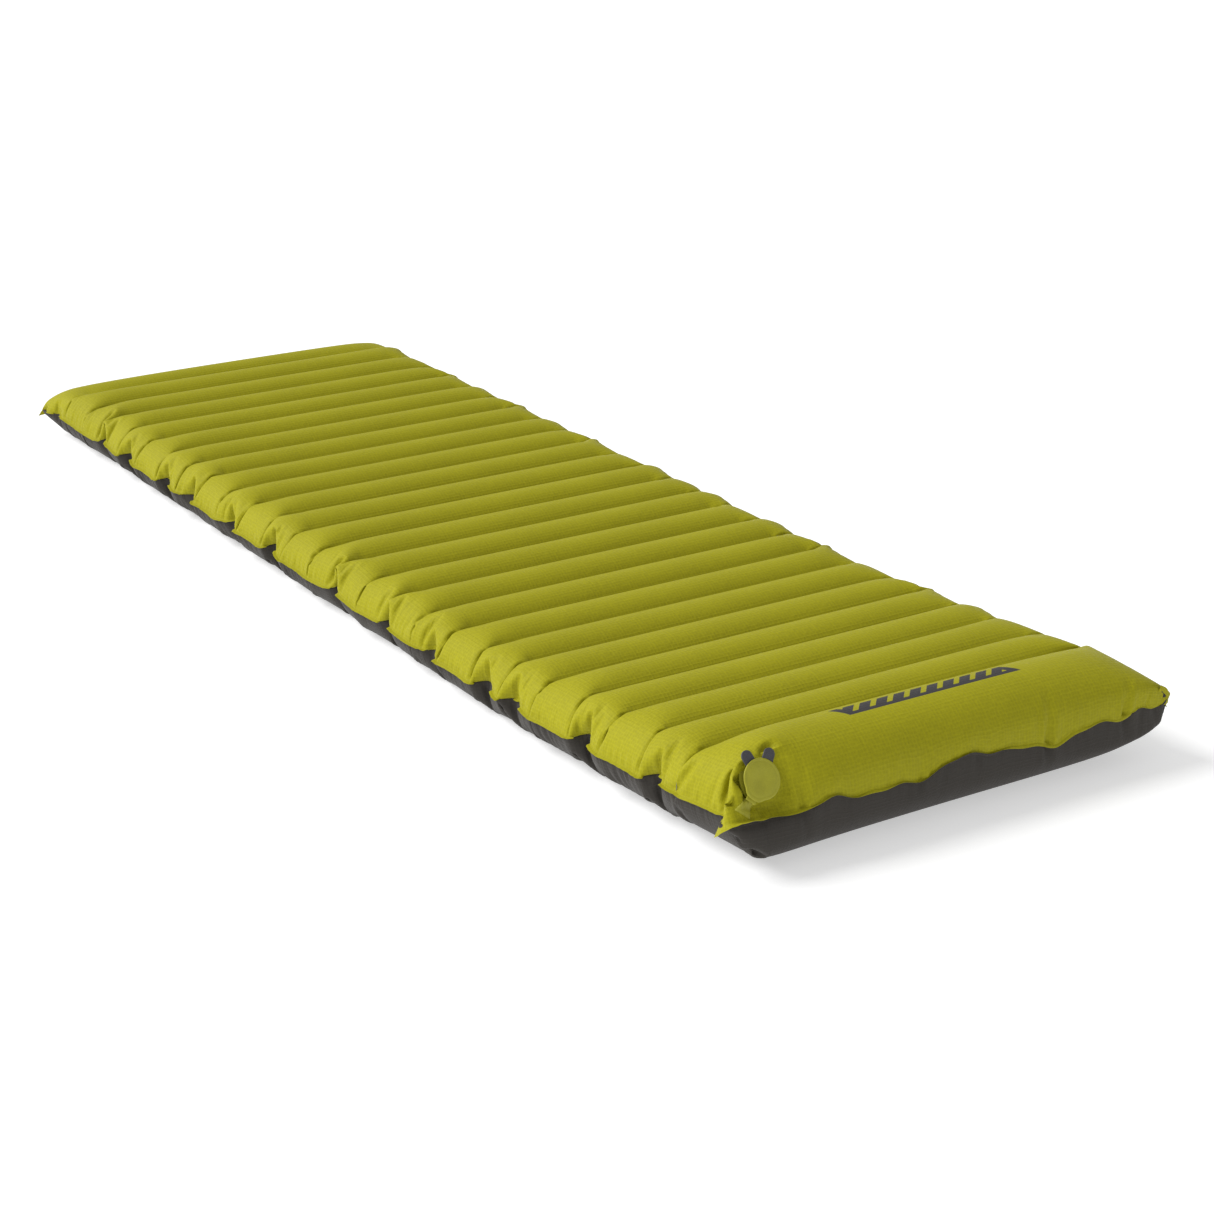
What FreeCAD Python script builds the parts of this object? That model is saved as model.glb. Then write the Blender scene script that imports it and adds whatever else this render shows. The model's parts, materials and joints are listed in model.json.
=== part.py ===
import FreeCAD, Part
import math
import os

from FreeCAD import Vector

os.makedirs("parts", exist_ok=True)

# Inflatable sleeping pad with a built-in foot pump, in millimetres.
# +X runs across the pad, +Y runs along it towards the far end, and +Z is up.
# The origin is on the ground under the middle of the pad. The pump lies along the -Y end.

# ---- Overall sizes ----
PAD_LENGTH = 1930.0
PAD_WIDTH = 635.0
TUBE_HEIGHT = 89.0
PUMP_HEIGHT = 135.0

# ---- Tubes and welds ----
TUBE_COUNT = 25
WELD_DEPTH = 17.0           # a weld lies this far below the crests beside it
WELD_WIDTH = 4.0            # flat land where a baffle is welded to a sheet
UNDER_WELD_LIFT = 8.0       # the underside of a weld clears the ground by this much
UNDER_ROUND = 15.0          # width of the round beside each weld on the underside
END_TUBE_WIDTH = 76.0       # far edge to the first weld
PUMP_WIDTH = 107.0          # near edge to the pump divider

# ---- The pad lifts towards the pump ----
LIFTED_WELDS = 7            # this many welds rise above the rest
TOP_LIFT = 31.0             # rise of the top at the pump divider
BASE_LIFT = 12.0            # rise of the underside at the pump divider

# ---- Sheets and hem ----
SHEET = 1.0                 # wall of both sheets
HEM_WIDTH = 9.0
SEAM_HEIGHT = 52.0
PUMP_SEAM_SHARE = 0.511     # height of the seam at the pump, as a share of the pump's height
SIDE_ROUND_TOP = 45.0       # width of the round above the seam, along the sides
SIDE_ROUND_BASE = 30.0      # width of the round below the seam, along the sides
SIDE_MARGIN = 3.0           # the side rounds start this far above and below the tubes
END_ROUND_TOP = 42.0        # width of the round above the seam at the far end
END_ROUND_BASE = 30.0       # width of the round below the seam at the far end
PUMP_ROUND_TOP = 56.0       # width of the pump's round above the seam
PUMP_ROUND_BASE = 36.0      # width of the pump's round below the seam
PUMP_FOOT_WIDTH = 35.0      # flat strip that the pump rests on

# ---- Baffles ----
BAFFLE = 1.0                # wall of a baffle
BAFFLE_END_GAP = 50.0       # air passes between a baffle's end and the side seam

# ---- Foam core of the pump ----
FOAM_GAP = 9.0              # foam to the sheets
FOAM_DIVIDER_GAP = 10.0     # foam to the pump divider
FOAM_VALVE_DEPTH = 22.0     # hollow in the foam under the valve

# ---- Check valve between the pump and the tubes ----
CHECK_INSET = 127.5         # side edge to the middle of the check valve
CHECK_BORE_RADIUS = 7.0
CHECK_WALL = 2.0
CHECK_FLANGE_LAP = 4.0      # the flange laps the divider by this much
CHECK_FLANGE = 1.5
CHECK_SEAT = 1.0            # the neck stands out of the divider by this much
CHECK_FLAP = 0.8
CHECK_FLAP_LAND = 1.0       # the flap laps the bore by this much
CHECK_TAB_WIDTH = 6.0
CHECK_TAB_HEIGHT = 3.0

# ---- Valve: a collar in the pump's corner under two hinged layers ----
VALVE_INSET = 59.5          # side edge to the middle of the valve
VALVE_TILT = 62.0           # degrees from straight up, towards the near end
NECK_ANGLE = 225.0          # direction of the strap on the valve's face
PORT_RADIUS = 6.0           # inflation port through the lower layer
MEMBRANE = 0.5
MEMBRANE_LAND = 2.0         # the membrane laps the port by this much
MEMBRANE_SIDE_GAP = 0.95
CAGE_THICKNESS = 1.4
CAGE_BAR = 2.0
PLUG_THICKNESS = 2.0
PLUG_STOPPER_DEPTH = 4.0
PLUG_STOPPER_TAPER = 1.6
PLUG_STOPPER_WALL = 1.4
PLUG_LAP = 5.5              # the lower layer laps the collar by this much
CAP_LAP = 2.0               # the upper layer laps the lower one by this much
CAP_THICKNESS = 1.8
CAP_STOPPER_TAPER = 0.5
CAP_RECESS_RADIUS = 8.0     # dimple in the middle of the cap
CAP_RECESS = 0.8
COLLAR_WALL = 3.0
COLLAR_STAND = 1.0          # the collar stands out of the sheet by this much
COLLAR_DEPTH = 8.0
BASE_FLANGE_LAP = 9.0       # the flange laps the sheet by this much
BASE_FLANGE = 1.2
LAYER_GAP = 0.3             # running gap between the layers
FIT = 0.05                  # radial clearance of a stopper in its bore

STRAP_WIDTH = 12.0
STRAP_THICKNESS = 1.5
CAP_HINGE_GAP = 3.0         # rim of the cap to its hinge line
PLUG_HINGE_GAP = 5.0        # rim of the cap to the plug's hinge line
ANCHOR_LENGTH = 14.5        # strap beyond the plug's hinge line
TAB_WIDTH = 13.0
TAB_LENGTH = 12.5           # pull tab beyond the rim of the cap
PLUG_TAB_ANGLE = 110.0
CAP_TAB_ANGLE = 55.0
FOAM_VALVE_GAP = 6.0        # foam to the flange of the valve

# ---- Worked out from the sizes above ----
HALF_LENGTH = PAD_LENGTH / 2
HALF_WIDTH = PAD_WIDTH / 2
FAR_WELD_Y = HALF_LENGTH - END_TUBE_WIDTH
DIVIDER_Y = -HALF_LENGTH + PUMP_WIDTH
TUBE_PITCH = (FAR_WELD_Y - DIVIDER_Y) / (TUBE_COUNT - 1)
WELDS = range(TUBE_COUNT)
LIFT_START = TUBE_COUNT - 1 - LIFTED_WELDS
AIR_HALF_WIDTH = HALF_WIDTH - HEM_WIDTH
AIR_HALF_LENGTH = HALF_LENGTH - HEM_WIDTH
PUMP_CREST_Y = -AIR_HALF_LENGTH + PUMP_ROUND_TOP
PUMP_FOOT_Y = -AIR_HALF_LENGTH + PUMP_ROUND_BASE
FAR_CREST_Y = AIR_HALF_LENGTH - END_ROUND_TOP
PUMP_SEAM_HEIGHT = PUMP_SEAM_SHARE * PUMP_HEIGHT
CHECK_X = -HALF_WIDTH + CHECK_INSET
STOPPER_HOLLOW_RADIUS = PORT_RADIUS + MEMBRANE_LAND + MEMBRANE_SIDE_GAP
STOPPER_RADIUS = STOPPER_HOLLOW_RADIUS + PLUG_STOPPER_WALL + PLUG_STOPPER_TAPER
COLLAR_BORE_RADIUS = STOPPER_RADIUS + FIT
COLLAR_RADIUS = COLLAR_BORE_RADIUS + COLLAR_WALL
PLUG_RADIUS = COLLAR_RADIUS + PLUG_LAP
CAP_RADIUS = PLUG_RADIUS + CAP_LAP
BASE_FLANGE_RADIUS = COLLAR_RADIUS + BASE_FLANGE_LAP
FOAM_VALVE_RADIUS = BASE_FLANGE_RADIUS + FOAM_VALVE_GAP
CAP_HINGE_REACH = CAP_RADIUS + CAP_HINGE_GAP
PLUG_HINGE_REACH = CAP_RADIUS + PLUG_HINGE_GAP
ANCHOR_END_REACH = PLUG_HINGE_REACH + ANCHOR_LENGTH
TAB_REACH = CAP_RADIUS + TAB_LENGTH
PLUG_LOW = COLLAR_STAND + LAYER_GAP
PLUG_TOP = PLUG_LOW + PLUG_THICKNESS
CAP_LOW = PLUG_TOP + LAYER_GAP
CAP_TOP = CAP_LOW + CAP_THICKNESS
BIG = 2 * PAD_LENGTH
HALF_ROOT = math.sqrt(0.5)


def weld_y(k):
    return FAR_WELD_Y - k * TUBE_PITCH


def lift_share(k):
    """0 on the level part of the pad, growing to 1 at the pump divider."""
    return (max(0.0, k - LIFT_START) / LIFTED_WELDS) ** 1.6


def weld_top(k):
    return TUBE_HEIGHT - WELD_DEPTH + TOP_LIFT * lift_share(k)


def weld_base(k):
    return UNDER_WELD_LIFT + BASE_LIFT * lift_share(k)


def seam_height(y):
    """The seam is level, then climbs in a straight line from the first lifted weld to the near edge."""
    start = weld_y(LIFT_START)
    share = max(0.0, (start - y) / (start + HALF_LENGTH))
    return SEAM_HEIGHT + (PUMP_SEAM_HEIGHT - SEAM_HEIGHT) * share


# ---- Drawing helpers ----
def line(p, q):
    return Part.LineSegment(p, q).toShape()


def arc(p, q, r):
    return Part.Arc(p, q, r).toShape()


def quarter(start, end, corner):
    """Arc from start to end that bulges towards corner as a quarter of an ellipse does."""
    inner = start + end - corner
    middle = inner + (corner - inner) * HALF_ROOT
    return arc(start, middle, end)


def box(x, y, z):
    """Box from three (low, high) pairs."""
    return Part.makeBox(x[1] - x[0], y[1] - y[0], z[1] - z[0], Vector(x[0], y[0], z[0]))


def across(edges, half_width):
    """Prism of a closed outline in the YZ plane, pulled across the pad."""
    face = Part.Face(Part.Wire(edges))
    face.translate(Vector(-half_width, 0, 0))
    return face.extrude(Vector(2 * half_width, 0, 0))


# ---- The pad's outside, drawn in at any depth ----
def yz(y, z):
    return Vector(0, y, z)


def far_end_edges(inset):
    """From the last underside land, round the far end, to the first land on top."""
    end = AIR_HALF_LENGTH - inset
    seam = yz(end, seam_height(end))
    foot = yz(end - END_ROUND_BASE, inset)
    crest = yz(FAR_CREST_Y, TUBE_HEIGHT - inset)
    under = yz(weld_y(0) + WELD_WIDTH / 2, weld_base(0) + inset)
    under_round = yz(weld_y(0) + UNDER_ROUND, inset)
    land = yz(weld_y(0) + WELD_WIDTH / 2, weld_top(0) - inset)
    return [
        line(under, under_round),
        line(under_round, foot),
        quarter(foot, seam, yz(end, inset)),
        quarter(seam, crest, yz(end, TUBE_HEIGHT - inset)),
        line(crest, land),
    ]


def tube_top_edges(k, inset):
    """The land of weld k and the arc of the tube on its near side."""
    land = WELD_WIDTH / 2
    top = weld_top(k) - inset
    next_top = weld_top(k + 1) - inset
    crest = (top + next_top) / 2 + WELD_DEPTH
    start = yz(weld_y(k) + land, top)
    arc_start = yz(weld_y(k) - land, top)
    arc_middle = yz((weld_y(k) + weld_y(k + 1)) / 2, crest)
    arc_end = yz(weld_y(k + 1) + land, next_top)
    return [line(start, arc_start), arc(arc_start, arc_middle, arc_end)]


def tube_base_edges(k, inset):
    """The underside of the same tube, from its near weld back to the land of weld k."""
    land = WELD_WIDTH / 2
    floor = (weld_base(k) + weld_base(k + 1)) / 2 - UNDER_WELD_LIFT + inset
    near = yz(weld_y(k + 1) + land, weld_base(k + 1) + inset)
    far = yz(weld_y(k) - land, weld_base(k) + inset)
    near_round = yz(weld_y(k + 1) + UNDER_ROUND, floor)
    far_round = yz(weld_y(k) - UNDER_ROUND, floor)
    far_land = yz(weld_y(k) + land, weld_base(k) + inset)
    return [line(near, near_round), line(near_round, far_round), line(far_round, far), line(far, far_land)]


def pump_edges(inset):
    """From the divider's land on top, round the pump, to the divider's land below."""
    last = TUBE_COUNT - 1
    land = WELD_WIDTH / 2
    end = -AIR_HALF_LENGTH + inset
    top = weld_top(last) - inset
    base = weld_base(last) + inset
    crest_top = PUMP_HEIGHT - inset
    land_far = yz(weld_y(last) + land, top)
    land_near = yz(weld_y(last) - land, top)
    crest = yz(PUMP_CREST_Y, crest_top)
    shoulder = quarter(land_near, crest, yz(land_near.y, crest_top))
    seam = yz(end, seam_height(end))
    foot = yz(PUMP_FOOT_Y, inset)
    foot_end = yz(PUMP_FOOT_Y + PUMP_FOOT_WIDTH, inset)
    under_near = yz(weld_y(last) - land, base)
    under_far = yz(weld_y(last) + land, base)
    return [
        line(land_far, land_near),
        shoulder,
        quarter(crest, seam, yz(end, crest_top)),
        quarter(seam, foot, yz(end, inset)),
        line(foot, foot_end),
        line(foot_end, under_near),
        line(under_near, under_far),
    ]


def long_profile(inset):
    """Closed outline of the pad, seen from the side."""
    edges = far_end_edges(inset)
    for k in WELDS[:-1]:
        edges += tube_top_edges(k, inset)
    edges += pump_edges(inset)
    for k in reversed(WELDS[:-1]):
        edges += tube_base_edges(k, inset)
    return edges


def cross_section(y, top, base, inset):
    """Closed outline of the pad across its width, with round sides that meet at the seam."""
    side = AIR_HALF_WIDTH - inset
    seam = seam_height(y)
    high = top + SIDE_MARGIN - inset
    low = base - SIDE_MARGIN + inset
    crown = side - SIDE_ROUND_TOP
    foot = side - SIDE_ROUND_BASE

    def at(x, z):
        return Vector(x, y, z)

    return Part.Wire([
        line(at(-crown, high), at(crown, high)),
        quarter(at(crown, high), at(side, seam), at(side, high)),
        quarter(at(side, seam), at(foot, low), at(side, low)),
        line(at(foot, low), at(-foot, low)),
        quarter(at(-foot, low), at(-side, seam), at(-side, low)),
        quarter(at(-side, seam), at(-crown, high), at(-side, high)),
    ])


def tunnel(inset):
    """Straight walls drawn from one cross-section to the next, along the whole pad."""
    sections = [cross_section(HALF_LENGTH, TUBE_HEIGHT, 0.0, inset)]
    for k in range(LIFT_START, TUBE_COUNT):
        top = weld_top(k) + WELD_DEPTH
        base = weld_base(k) - UNDER_WELD_LIFT
        sections.append(cross_section(weld_y(k), top, base, inset))
    sections.append(cross_section(PUMP_CREST_Y, PUMP_HEIGHT, 0.0, inset))
    sections.append(cross_section(-HALF_LENGTH, PUMP_HEIGHT, 0.0, inset))
    return Part.makeLoft(sections, True, True)


def pad_solid(inset):
    """The pad's outside, drawn in by inset: the long profile where it crosses the tunnel."""
    return across(long_profile(inset), HALF_WIDTH).common(tunnel(inset))


def pump_profile(inset):
    """Closed outline of the pump alone, seen from the side."""
    edges = pump_edges(inset)
    start = edges[0].Vertexes[0].Point
    end = edges[-1].Vertexes[-1].Point
    return edges + [line(end, start)]


def above_seam(raise_by):
    """Everything above the seam, or above a sheet of thickness raise_by laid on it."""
    start_y = weld_y(LIFT_START)
    path = [
        yz(BIG, SEAM_HEIGHT + raise_by),
        yz(start_y, SEAM_HEIGHT + raise_by),
        yz(-HALF_LENGTH, PUMP_SEAM_HEIGHT + raise_by),
        yz(-BIG, seam_height(-BIG) + raise_by),
        yz(-BIG, BIG),
        yz(BIG, BIG),
    ]
    edges = [line(p, q) for p, q in zip(path, path[1:] + path[:1])]
    return across(edges, BIG)


def hem(outside, low, high):
    """One layer of the flat hem round the pad, between two heights above the seam."""
    plan = box((-HALF_WIDTH, HALF_WIDTH), (-HALF_LENGTH, HALF_LENGTH), (0, PUMP_HEIGHT))
    layer = plan.common(above_seam(low)).cut(above_seam(high))
    return layer.cut(outside)


# ---- The valve's own frame ----
def pump_round():
    """Centre and radius, in the YZ plane, of the pump's round above the seam."""
    edge = pump_edges(0.0)[2]
    return edge.Curve.Center, edge.Curve.Radius


def valve_normal():
    tilt = math.radians(VALVE_TILT)
    return Vector(0, -math.sin(tilt), math.cos(tilt))


def valve_centre():
    """Point of the top sheet under the middle of the valve."""
    centre, radius = pump_round()
    return centre + valve_normal() * radius + Vector(-HALF_WIDTH + VALVE_INSET, 0, 0)


def on_valve(shape):
    """Move a shape drawn flat about the origin onto the pump's corner. Its +X is the pad's +X."""
    normal = valve_normal()
    across_pad = Vector(1, 0, 0)
    up_slope = normal.cross(across_pad)
    matrix = FreeCAD.Matrix(
        across_pad.x, up_slope.x, normal.x, 0,
        across_pad.y, up_slope.y, normal.y, 0,
        across_pad.z, up_slope.z, normal.z, 0,
        0, 0, 0, 1)
    placement = FreeCAD.Placement(matrix)
    placement.Base = valve_centre()
    moved = shape.copy()
    moved.Placement = placement.multiply(moved.Placement)
    return moved


def disc(radius, low, high):
    return Part.makeCylinder(radius, high - low, Vector(0, 0, low))


def cone(low_radius, high_radius, low, high):
    return Part.makeCone(low_radius, high_radius, high - low, Vector(0, 0, low))


def bar(angle, start, end, width, low, high):
    """Flat bar on the valve's face that runs outward at an angle."""
    shape = box((start, end), (-width / 2, width / 2), (low, high))
    shape.rotate(Vector(0, 0, 0), Vector(0, 0, 1), angle)
    return shape


def rounded_bar(angle, end, width, low, high):
    """Bar from the middle outward, with a round end."""
    shape = bar(angle, 0, end - width / 2, width, low, high)
    tip = disc(width / 2, low, high)
    turn = math.radians(angle)
    tip.translate(Vector(math.cos(turn), math.sin(turn), 0) * (end - width / 2))
    return shape.fuse(tip)


def strap(reach, low, high):
    """Strap from the middle to a hinge line, with a half-round end on that line."""
    middle = (low + high) / 2
    half = (high - low) / 2
    shape = bar(NECK_ANGLE, 0, reach, STRAP_WIDTH, low, high)
    barrel = Part.makeCylinder(half, STRAP_WIDTH, Vector(reach, -STRAP_WIDTH / 2, middle), Vector(0, 1, 0))
    barrel.rotate(Vector(0, 0, 0), Vector(0, 0, 1), NECK_ANGLE)
    return shape.fuse(barrel)


# ---- Sheets ----
def make_sheets():
    outside = pad_solid(0.0)
    wall = outside.cut(pad_solid(SHEET))
    upper = above_seam(0.0)
    hole = on_valve(disc(COLLAR_RADIUS, -COLLAR_DEPTH, COLLAR_DEPTH))
    top = wall.common(upper).fuse(hem(outside, 0.0, SHEET)).cut(hole)
    bottom = wall.cut(upper).fuse(hem(outside, -SHEET, 0.0))
    return top, bottom


# ---- Baffles and the pump divider ----
def make_baffle(k):
    """Web of an I section, with a flange welded to the land of each sheet."""
    half_length = AIR_HALF_WIDTH - BAFFLE_END_GAP
    low = weld_base(k) + SHEET
    high = weld_top(k) - SHEET
    x = (-half_length, half_length)
    flange = (weld_y(k) - WELD_WIDTH / 2, weld_y(k) + WELD_WIDTH / 2)
    web = (weld_y(k) - BAFFLE / 2, weld_y(k) + BAFFLE / 2)
    section = box(x, web, (low, high))
    section = section.fuse(box(x, flange, (low, low + BAFFLE)))
    return section.fuse(box(x, flange, (high - BAFFLE, high)))


def check_middle():
    last = TUBE_COUNT - 1
    return Vector(CHECK_X, DIVIDER_Y, (weld_base(last) + weld_top(last)) / 2)


def check_disc(radius, start, end):
    """Disc about the check valve's axis, between two distances from the middle of the divider."""
    middle = check_middle()
    return Part.makeCylinder(radius, end - start, middle + Vector(0, start, 0), Vector(0, 1, 0))


def make_divider():
    """Wall right across the pad that seals the pump from the tubes."""
    slab = box((-HALF_WIDTH, HALF_WIDTH), (DIVIDER_Y - BAFFLE / 2, DIVIDER_Y + BAFFLE / 2), (0, PUMP_HEIGHT))
    wall = slab.common(tunnel(SHEET)).common(across(long_profile(SHEET), HALF_WIDTH))
    return wall.cut(check_disc(CHECK_BORE_RADIUS + CHECK_WALL, -BAFFLE, BAFFLE))


def make_check_body():
    face = BAFFLE / 2
    neck_radius = CHECK_BORE_RADIUS + CHECK_WALL
    flange = check_disc(neck_radius + CHECK_FLANGE_LAP, -face - CHECK_FLANGE, -face)
    neck = check_disc(neck_radius, -face - CHECK_FLANGE, face + CHECK_SEAT)
    bore = check_disc(CHECK_BORE_RADIUS, -BIG, BIG)
    return flange.fuse(neck).cut(bore)


def make_check_flap():
    """Round flap that hangs over the bore on the tubes' side, from a round edge at its top."""
    start = BAFFLE / 2 + CHECK_SEAT + LAYER_GAP
    radius = CHECK_BORE_RADIUS + CHECK_FLAP_LAND
    flap = check_disc(radius, start, start + CHECK_FLAP)
    middle = check_middle()
    x = (CHECK_X - CHECK_TAB_WIDTH / 2, CHECK_X + CHECK_TAB_WIDTH / 2)
    y = (DIVIDER_Y + start, DIVIDER_Y + start + CHECK_FLAP)
    hinge_z = middle.z + radius + CHECK_TAB_HEIGHT
    edge_start = Vector(x[0], DIVIDER_Y + start + CHECK_FLAP / 2, hinge_z)
    edge = Part.makeCylinder(CHECK_FLAP / 2, CHECK_TAB_WIDTH, edge_start, Vector(1, 0, 0))
    return flap.fuse(box(x, y, (middle.z, hinge_z))).fuse(edge)


def make_foam_core():
    inset = SHEET + FOAM_GAP
    core = across(pump_profile(inset), HALF_WIDTH).common(tunnel(inset))
    divider_side = DIVIDER_Y - FOAM_DIVIDER_GAP
    core = core.cut(box((-BIG, BIG), (divider_side, BIG), (-BIG, BIG)))
    return core.cut(on_valve(disc(FOAM_VALVE_RADIUS, -FOAM_VALVE_DEPTH, FOAM_VALVE_DEPTH)))


# ---- Valve ----
def make_valve_base():
    """Collar with a flange that follows the inside of the top sheet."""
    layer = across(pump_profile(SHEET), HALF_WIDTH).cut(across(pump_profile(SHEET + BASE_FLANGE), BIG))
    flange = layer.common(on_valve(disc(BASE_FLANGE_RADIUS, -BASE_FLANGE_RADIUS, BASE_FLANGE_RADIUS)))
    collar = on_valve(disc(COLLAR_RADIUS, -COLLAR_DEPTH, COLLAR_STAND))
    bore = on_valve(disc(COLLAR_BORE_RADIUS, -BASE_FLANGE_RADIUS, BASE_FLANGE_RADIUS))
    return flange.fuse(collar).cut(bore)


def make_strap_anchor():
    """Strip on the outside of the top sheet, from under the layers down to the hem."""
    layer = across(pump_profile(-STRAP_THICKNESS), HALF_WIDTH).cut(across(pump_profile(0.0), BIG))
    start = COLLAR_RADIUS + LAYER_GAP
    patch = bar(NECK_ANGLE, start, ANCHOR_END_REACH, STRAP_WIDTH, -BASE_FLANGE_RADIUS, COLLAR_STAND)
    return layer.common(on_valve(patch)).common(above_seam(SHEET))


def make_plug():
    """Lower layer: a disc with a tapered hollow stopper, an inflation port and a membrane cage."""
    stopper_end = PLUG_LOW - LAYER_GAP - PLUG_STOPPER_DEPTH
    plate = disc(PLUG_RADIUS, PLUG_LOW, PLUG_TOP).fuse(strap(PLUG_HINGE_REACH, PLUG_LOW, PLUG_TOP))
    skirt = cone(STOPPER_RADIUS - PLUG_STOPPER_TAPER, STOPPER_RADIUS, stopper_end, PLUG_LOW)
    inner = STOPPER_HOLLOW_RADIUS
    hollow = disc(inner, stopper_end, PLUG_LOW)
    cage_top = stopper_end + CAGE_THICKNESS
    cage = box((-inner, inner), (-CAGE_BAR / 2, CAGE_BAR / 2), (stopper_end, cage_top))
    cage = cage.fuse(box((-CAGE_BAR / 2, CAGE_BAR / 2), (-inner, inner), (stopper_end, cage_top)))
    cage = cage.common(disc(inner, stopper_end, cage_top))
    port = disc(PORT_RADIUS, PLUG_LOW, PLUG_TOP)
    return on_valve(plate.fuse(skirt).cut(hollow).cut(port).fuse(cage))


def make_membrane():
    radius = PORT_RADIUS + MEMBRANE_LAND
    top = PLUG_LOW - LAYER_GAP
    return on_valve(disc(radius, top - MEMBRANE, top))


def make_cap():
    """Upper layer: a dished disc with a tapered stopper in the inflation port."""
    plate = disc(CAP_RADIUS, CAP_LOW, CAP_TOP).fuse(strap(CAP_HINGE_REACH, CAP_LOW, CAP_TOP))
    recess = disc(CAP_RECESS_RADIUS, CAP_TOP - CAP_RECESS, CAP_TOP)
    top_radius = PORT_RADIUS - FIT
    stopper = cone(top_radius - CAP_STOPPER_TAPER, top_radius, PLUG_LOW, CAP_LOW)
    return on_valve(plate.cut(recess).fuse(stopper))


def make_tab(angle, rim_radius, low, high):
    """Pull tab bonded to a layer's rim."""
    tab = rounded_bar(angle, TAB_REACH, TAB_WIDTH, low, high)
    return on_valve(tab.cut(disc(rim_radius, low, high)))


def save(name, shape):
    solid = shape.removeSplitter()
    solid.exportStep("parts/" + name + ".step")
    print(name, len(solid.Solids), solid.isValid(), round(solid.Volume))


top_sheet, bottom_sheet = make_sheets()
save("top_sheet", top_sheet)
save("bottom_sheet", bottom_sheet)
for k in WELDS[:-1]:
    save("baffle_%02d" % (k + 1), make_baffle(k))
save("pump_divider", make_divider())
save("pump_foam_core", make_foam_core())
save("check_valve_body", make_check_body())
save("check_valve_flap", make_check_flap())
save("valve_base", make_valve_base())
save("strap_anchor", make_strap_anchor())
save("valve_plug", make_plug())
save("valve_membrane", make_membrane())
save("valve_cap", make_cap())
save("plug_tab", make_tab(PLUG_TAB_ANGLE, PLUG_RADIUS, PLUG_LOW, PLUG_TOP))
save("cap_tab", make_tab(CAP_TAB_ANGLE, CAP_RADIUS, CAP_LOW, CAP_TOP))
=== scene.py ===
"""Inflatable sleeping pad: builds the pad's cloth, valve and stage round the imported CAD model."""

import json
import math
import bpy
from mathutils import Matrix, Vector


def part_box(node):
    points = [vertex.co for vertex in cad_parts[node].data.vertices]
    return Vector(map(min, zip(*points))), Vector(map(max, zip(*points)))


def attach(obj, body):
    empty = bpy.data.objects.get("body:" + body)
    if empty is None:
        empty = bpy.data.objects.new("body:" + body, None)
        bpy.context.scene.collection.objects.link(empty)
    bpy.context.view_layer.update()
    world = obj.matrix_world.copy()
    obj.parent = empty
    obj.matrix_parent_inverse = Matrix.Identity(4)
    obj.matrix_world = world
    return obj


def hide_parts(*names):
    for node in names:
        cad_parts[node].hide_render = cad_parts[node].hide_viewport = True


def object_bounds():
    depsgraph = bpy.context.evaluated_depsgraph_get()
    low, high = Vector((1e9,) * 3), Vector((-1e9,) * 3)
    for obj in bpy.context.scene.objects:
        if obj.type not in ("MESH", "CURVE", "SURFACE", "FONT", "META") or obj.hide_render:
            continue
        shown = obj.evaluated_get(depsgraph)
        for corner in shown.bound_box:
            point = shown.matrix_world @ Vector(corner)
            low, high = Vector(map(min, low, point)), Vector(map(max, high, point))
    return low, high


bl_info = {
    "name": "Inflatable Sleeping Pad",
    "version": (1, 0, 0),
    "blender": (4, 5, 0),
    "location": "View3D > Sidebar > Sleeping Pad",
    "description": "Blows up a flat cross-tube pad, fits its foot-pump valve and sets it on a studio floor",
    "category": "Object",
}

from concurrent.futures import ThreadPoolExecutor
from types import SimpleNamespace

import bpy
import numpy as np
from mathutils import Vector
from mathutils.bvhtree import BVHTree

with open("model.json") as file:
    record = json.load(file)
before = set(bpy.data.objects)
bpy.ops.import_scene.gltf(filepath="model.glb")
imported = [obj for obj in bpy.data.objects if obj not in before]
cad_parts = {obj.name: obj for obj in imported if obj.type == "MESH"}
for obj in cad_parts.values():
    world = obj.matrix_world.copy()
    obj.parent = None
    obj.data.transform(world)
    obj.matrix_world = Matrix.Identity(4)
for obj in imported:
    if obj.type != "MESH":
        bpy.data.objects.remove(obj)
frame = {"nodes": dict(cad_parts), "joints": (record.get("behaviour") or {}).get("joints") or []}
NODES = frame["nodes"]
CAD_BOX = [list(corner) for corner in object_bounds()]
BAFFLES = sorted(name for name in NODES if name.startswith("baffle_"))
LENGTHS = {"subtype": "DISTANCE", "unit": "LENGTH"}
COLOURS = {"subtype": "COLOR", "size": 3}
MM = 0.001


# ---- Sizes and colours ----
class PadSizes(bpy.types.PropertyGroup):
    tube_crest: bpy.props.FloatProperty(
        name="Tube height", description="Top of a tube above the floor", default=0.089, min=0.03, **LENGTHS)
    tube_rise: bpy.props.FloatProperty(
        name="Tube rise", description="Height of a tube's arc above its welds", default=0.017, min=0.004, **LENGTHS)
    pump_crest: bpy.props.FloatProperty(
        name="Pump height", description="Top of the foot pump above the floor", default=CAD_BOX[1][2], min=0.05,
        **LENGTHS)
    hem: bpy.props.FloatProperty(
        name="Hem", description="Width of the flat welded edge", default=0.009, min=0.002, **LENGTHS)
    seam_far: bpy.props.FloatProperty(
        name="Seam height", description="Height of the side seam", default=0.054, min=0.01, **LENGTHS)
    seam_near: bpy.props.FloatProperty(
        name="Seam height at pump", description="Height of the seam at the pump end", default=0.069, min=0.01,
        **LENGTHS)
    lobe_out: bpy.props.FloatProperty(
        name="Lobe swing", description="How far the hem swings out between two notches", default=0.008, min=0,
        **LENGTHS)
    lobe_droop: bpy.props.FloatProperty(
        name="Lobe droop", description="How far the hem hangs between two notches", default=0.008, min=0, **LENGTHS)
    seed: bpy.props.IntProperty(
        name="Seed", description="Picks another run of notches and creases", default=11, min=0)


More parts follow.
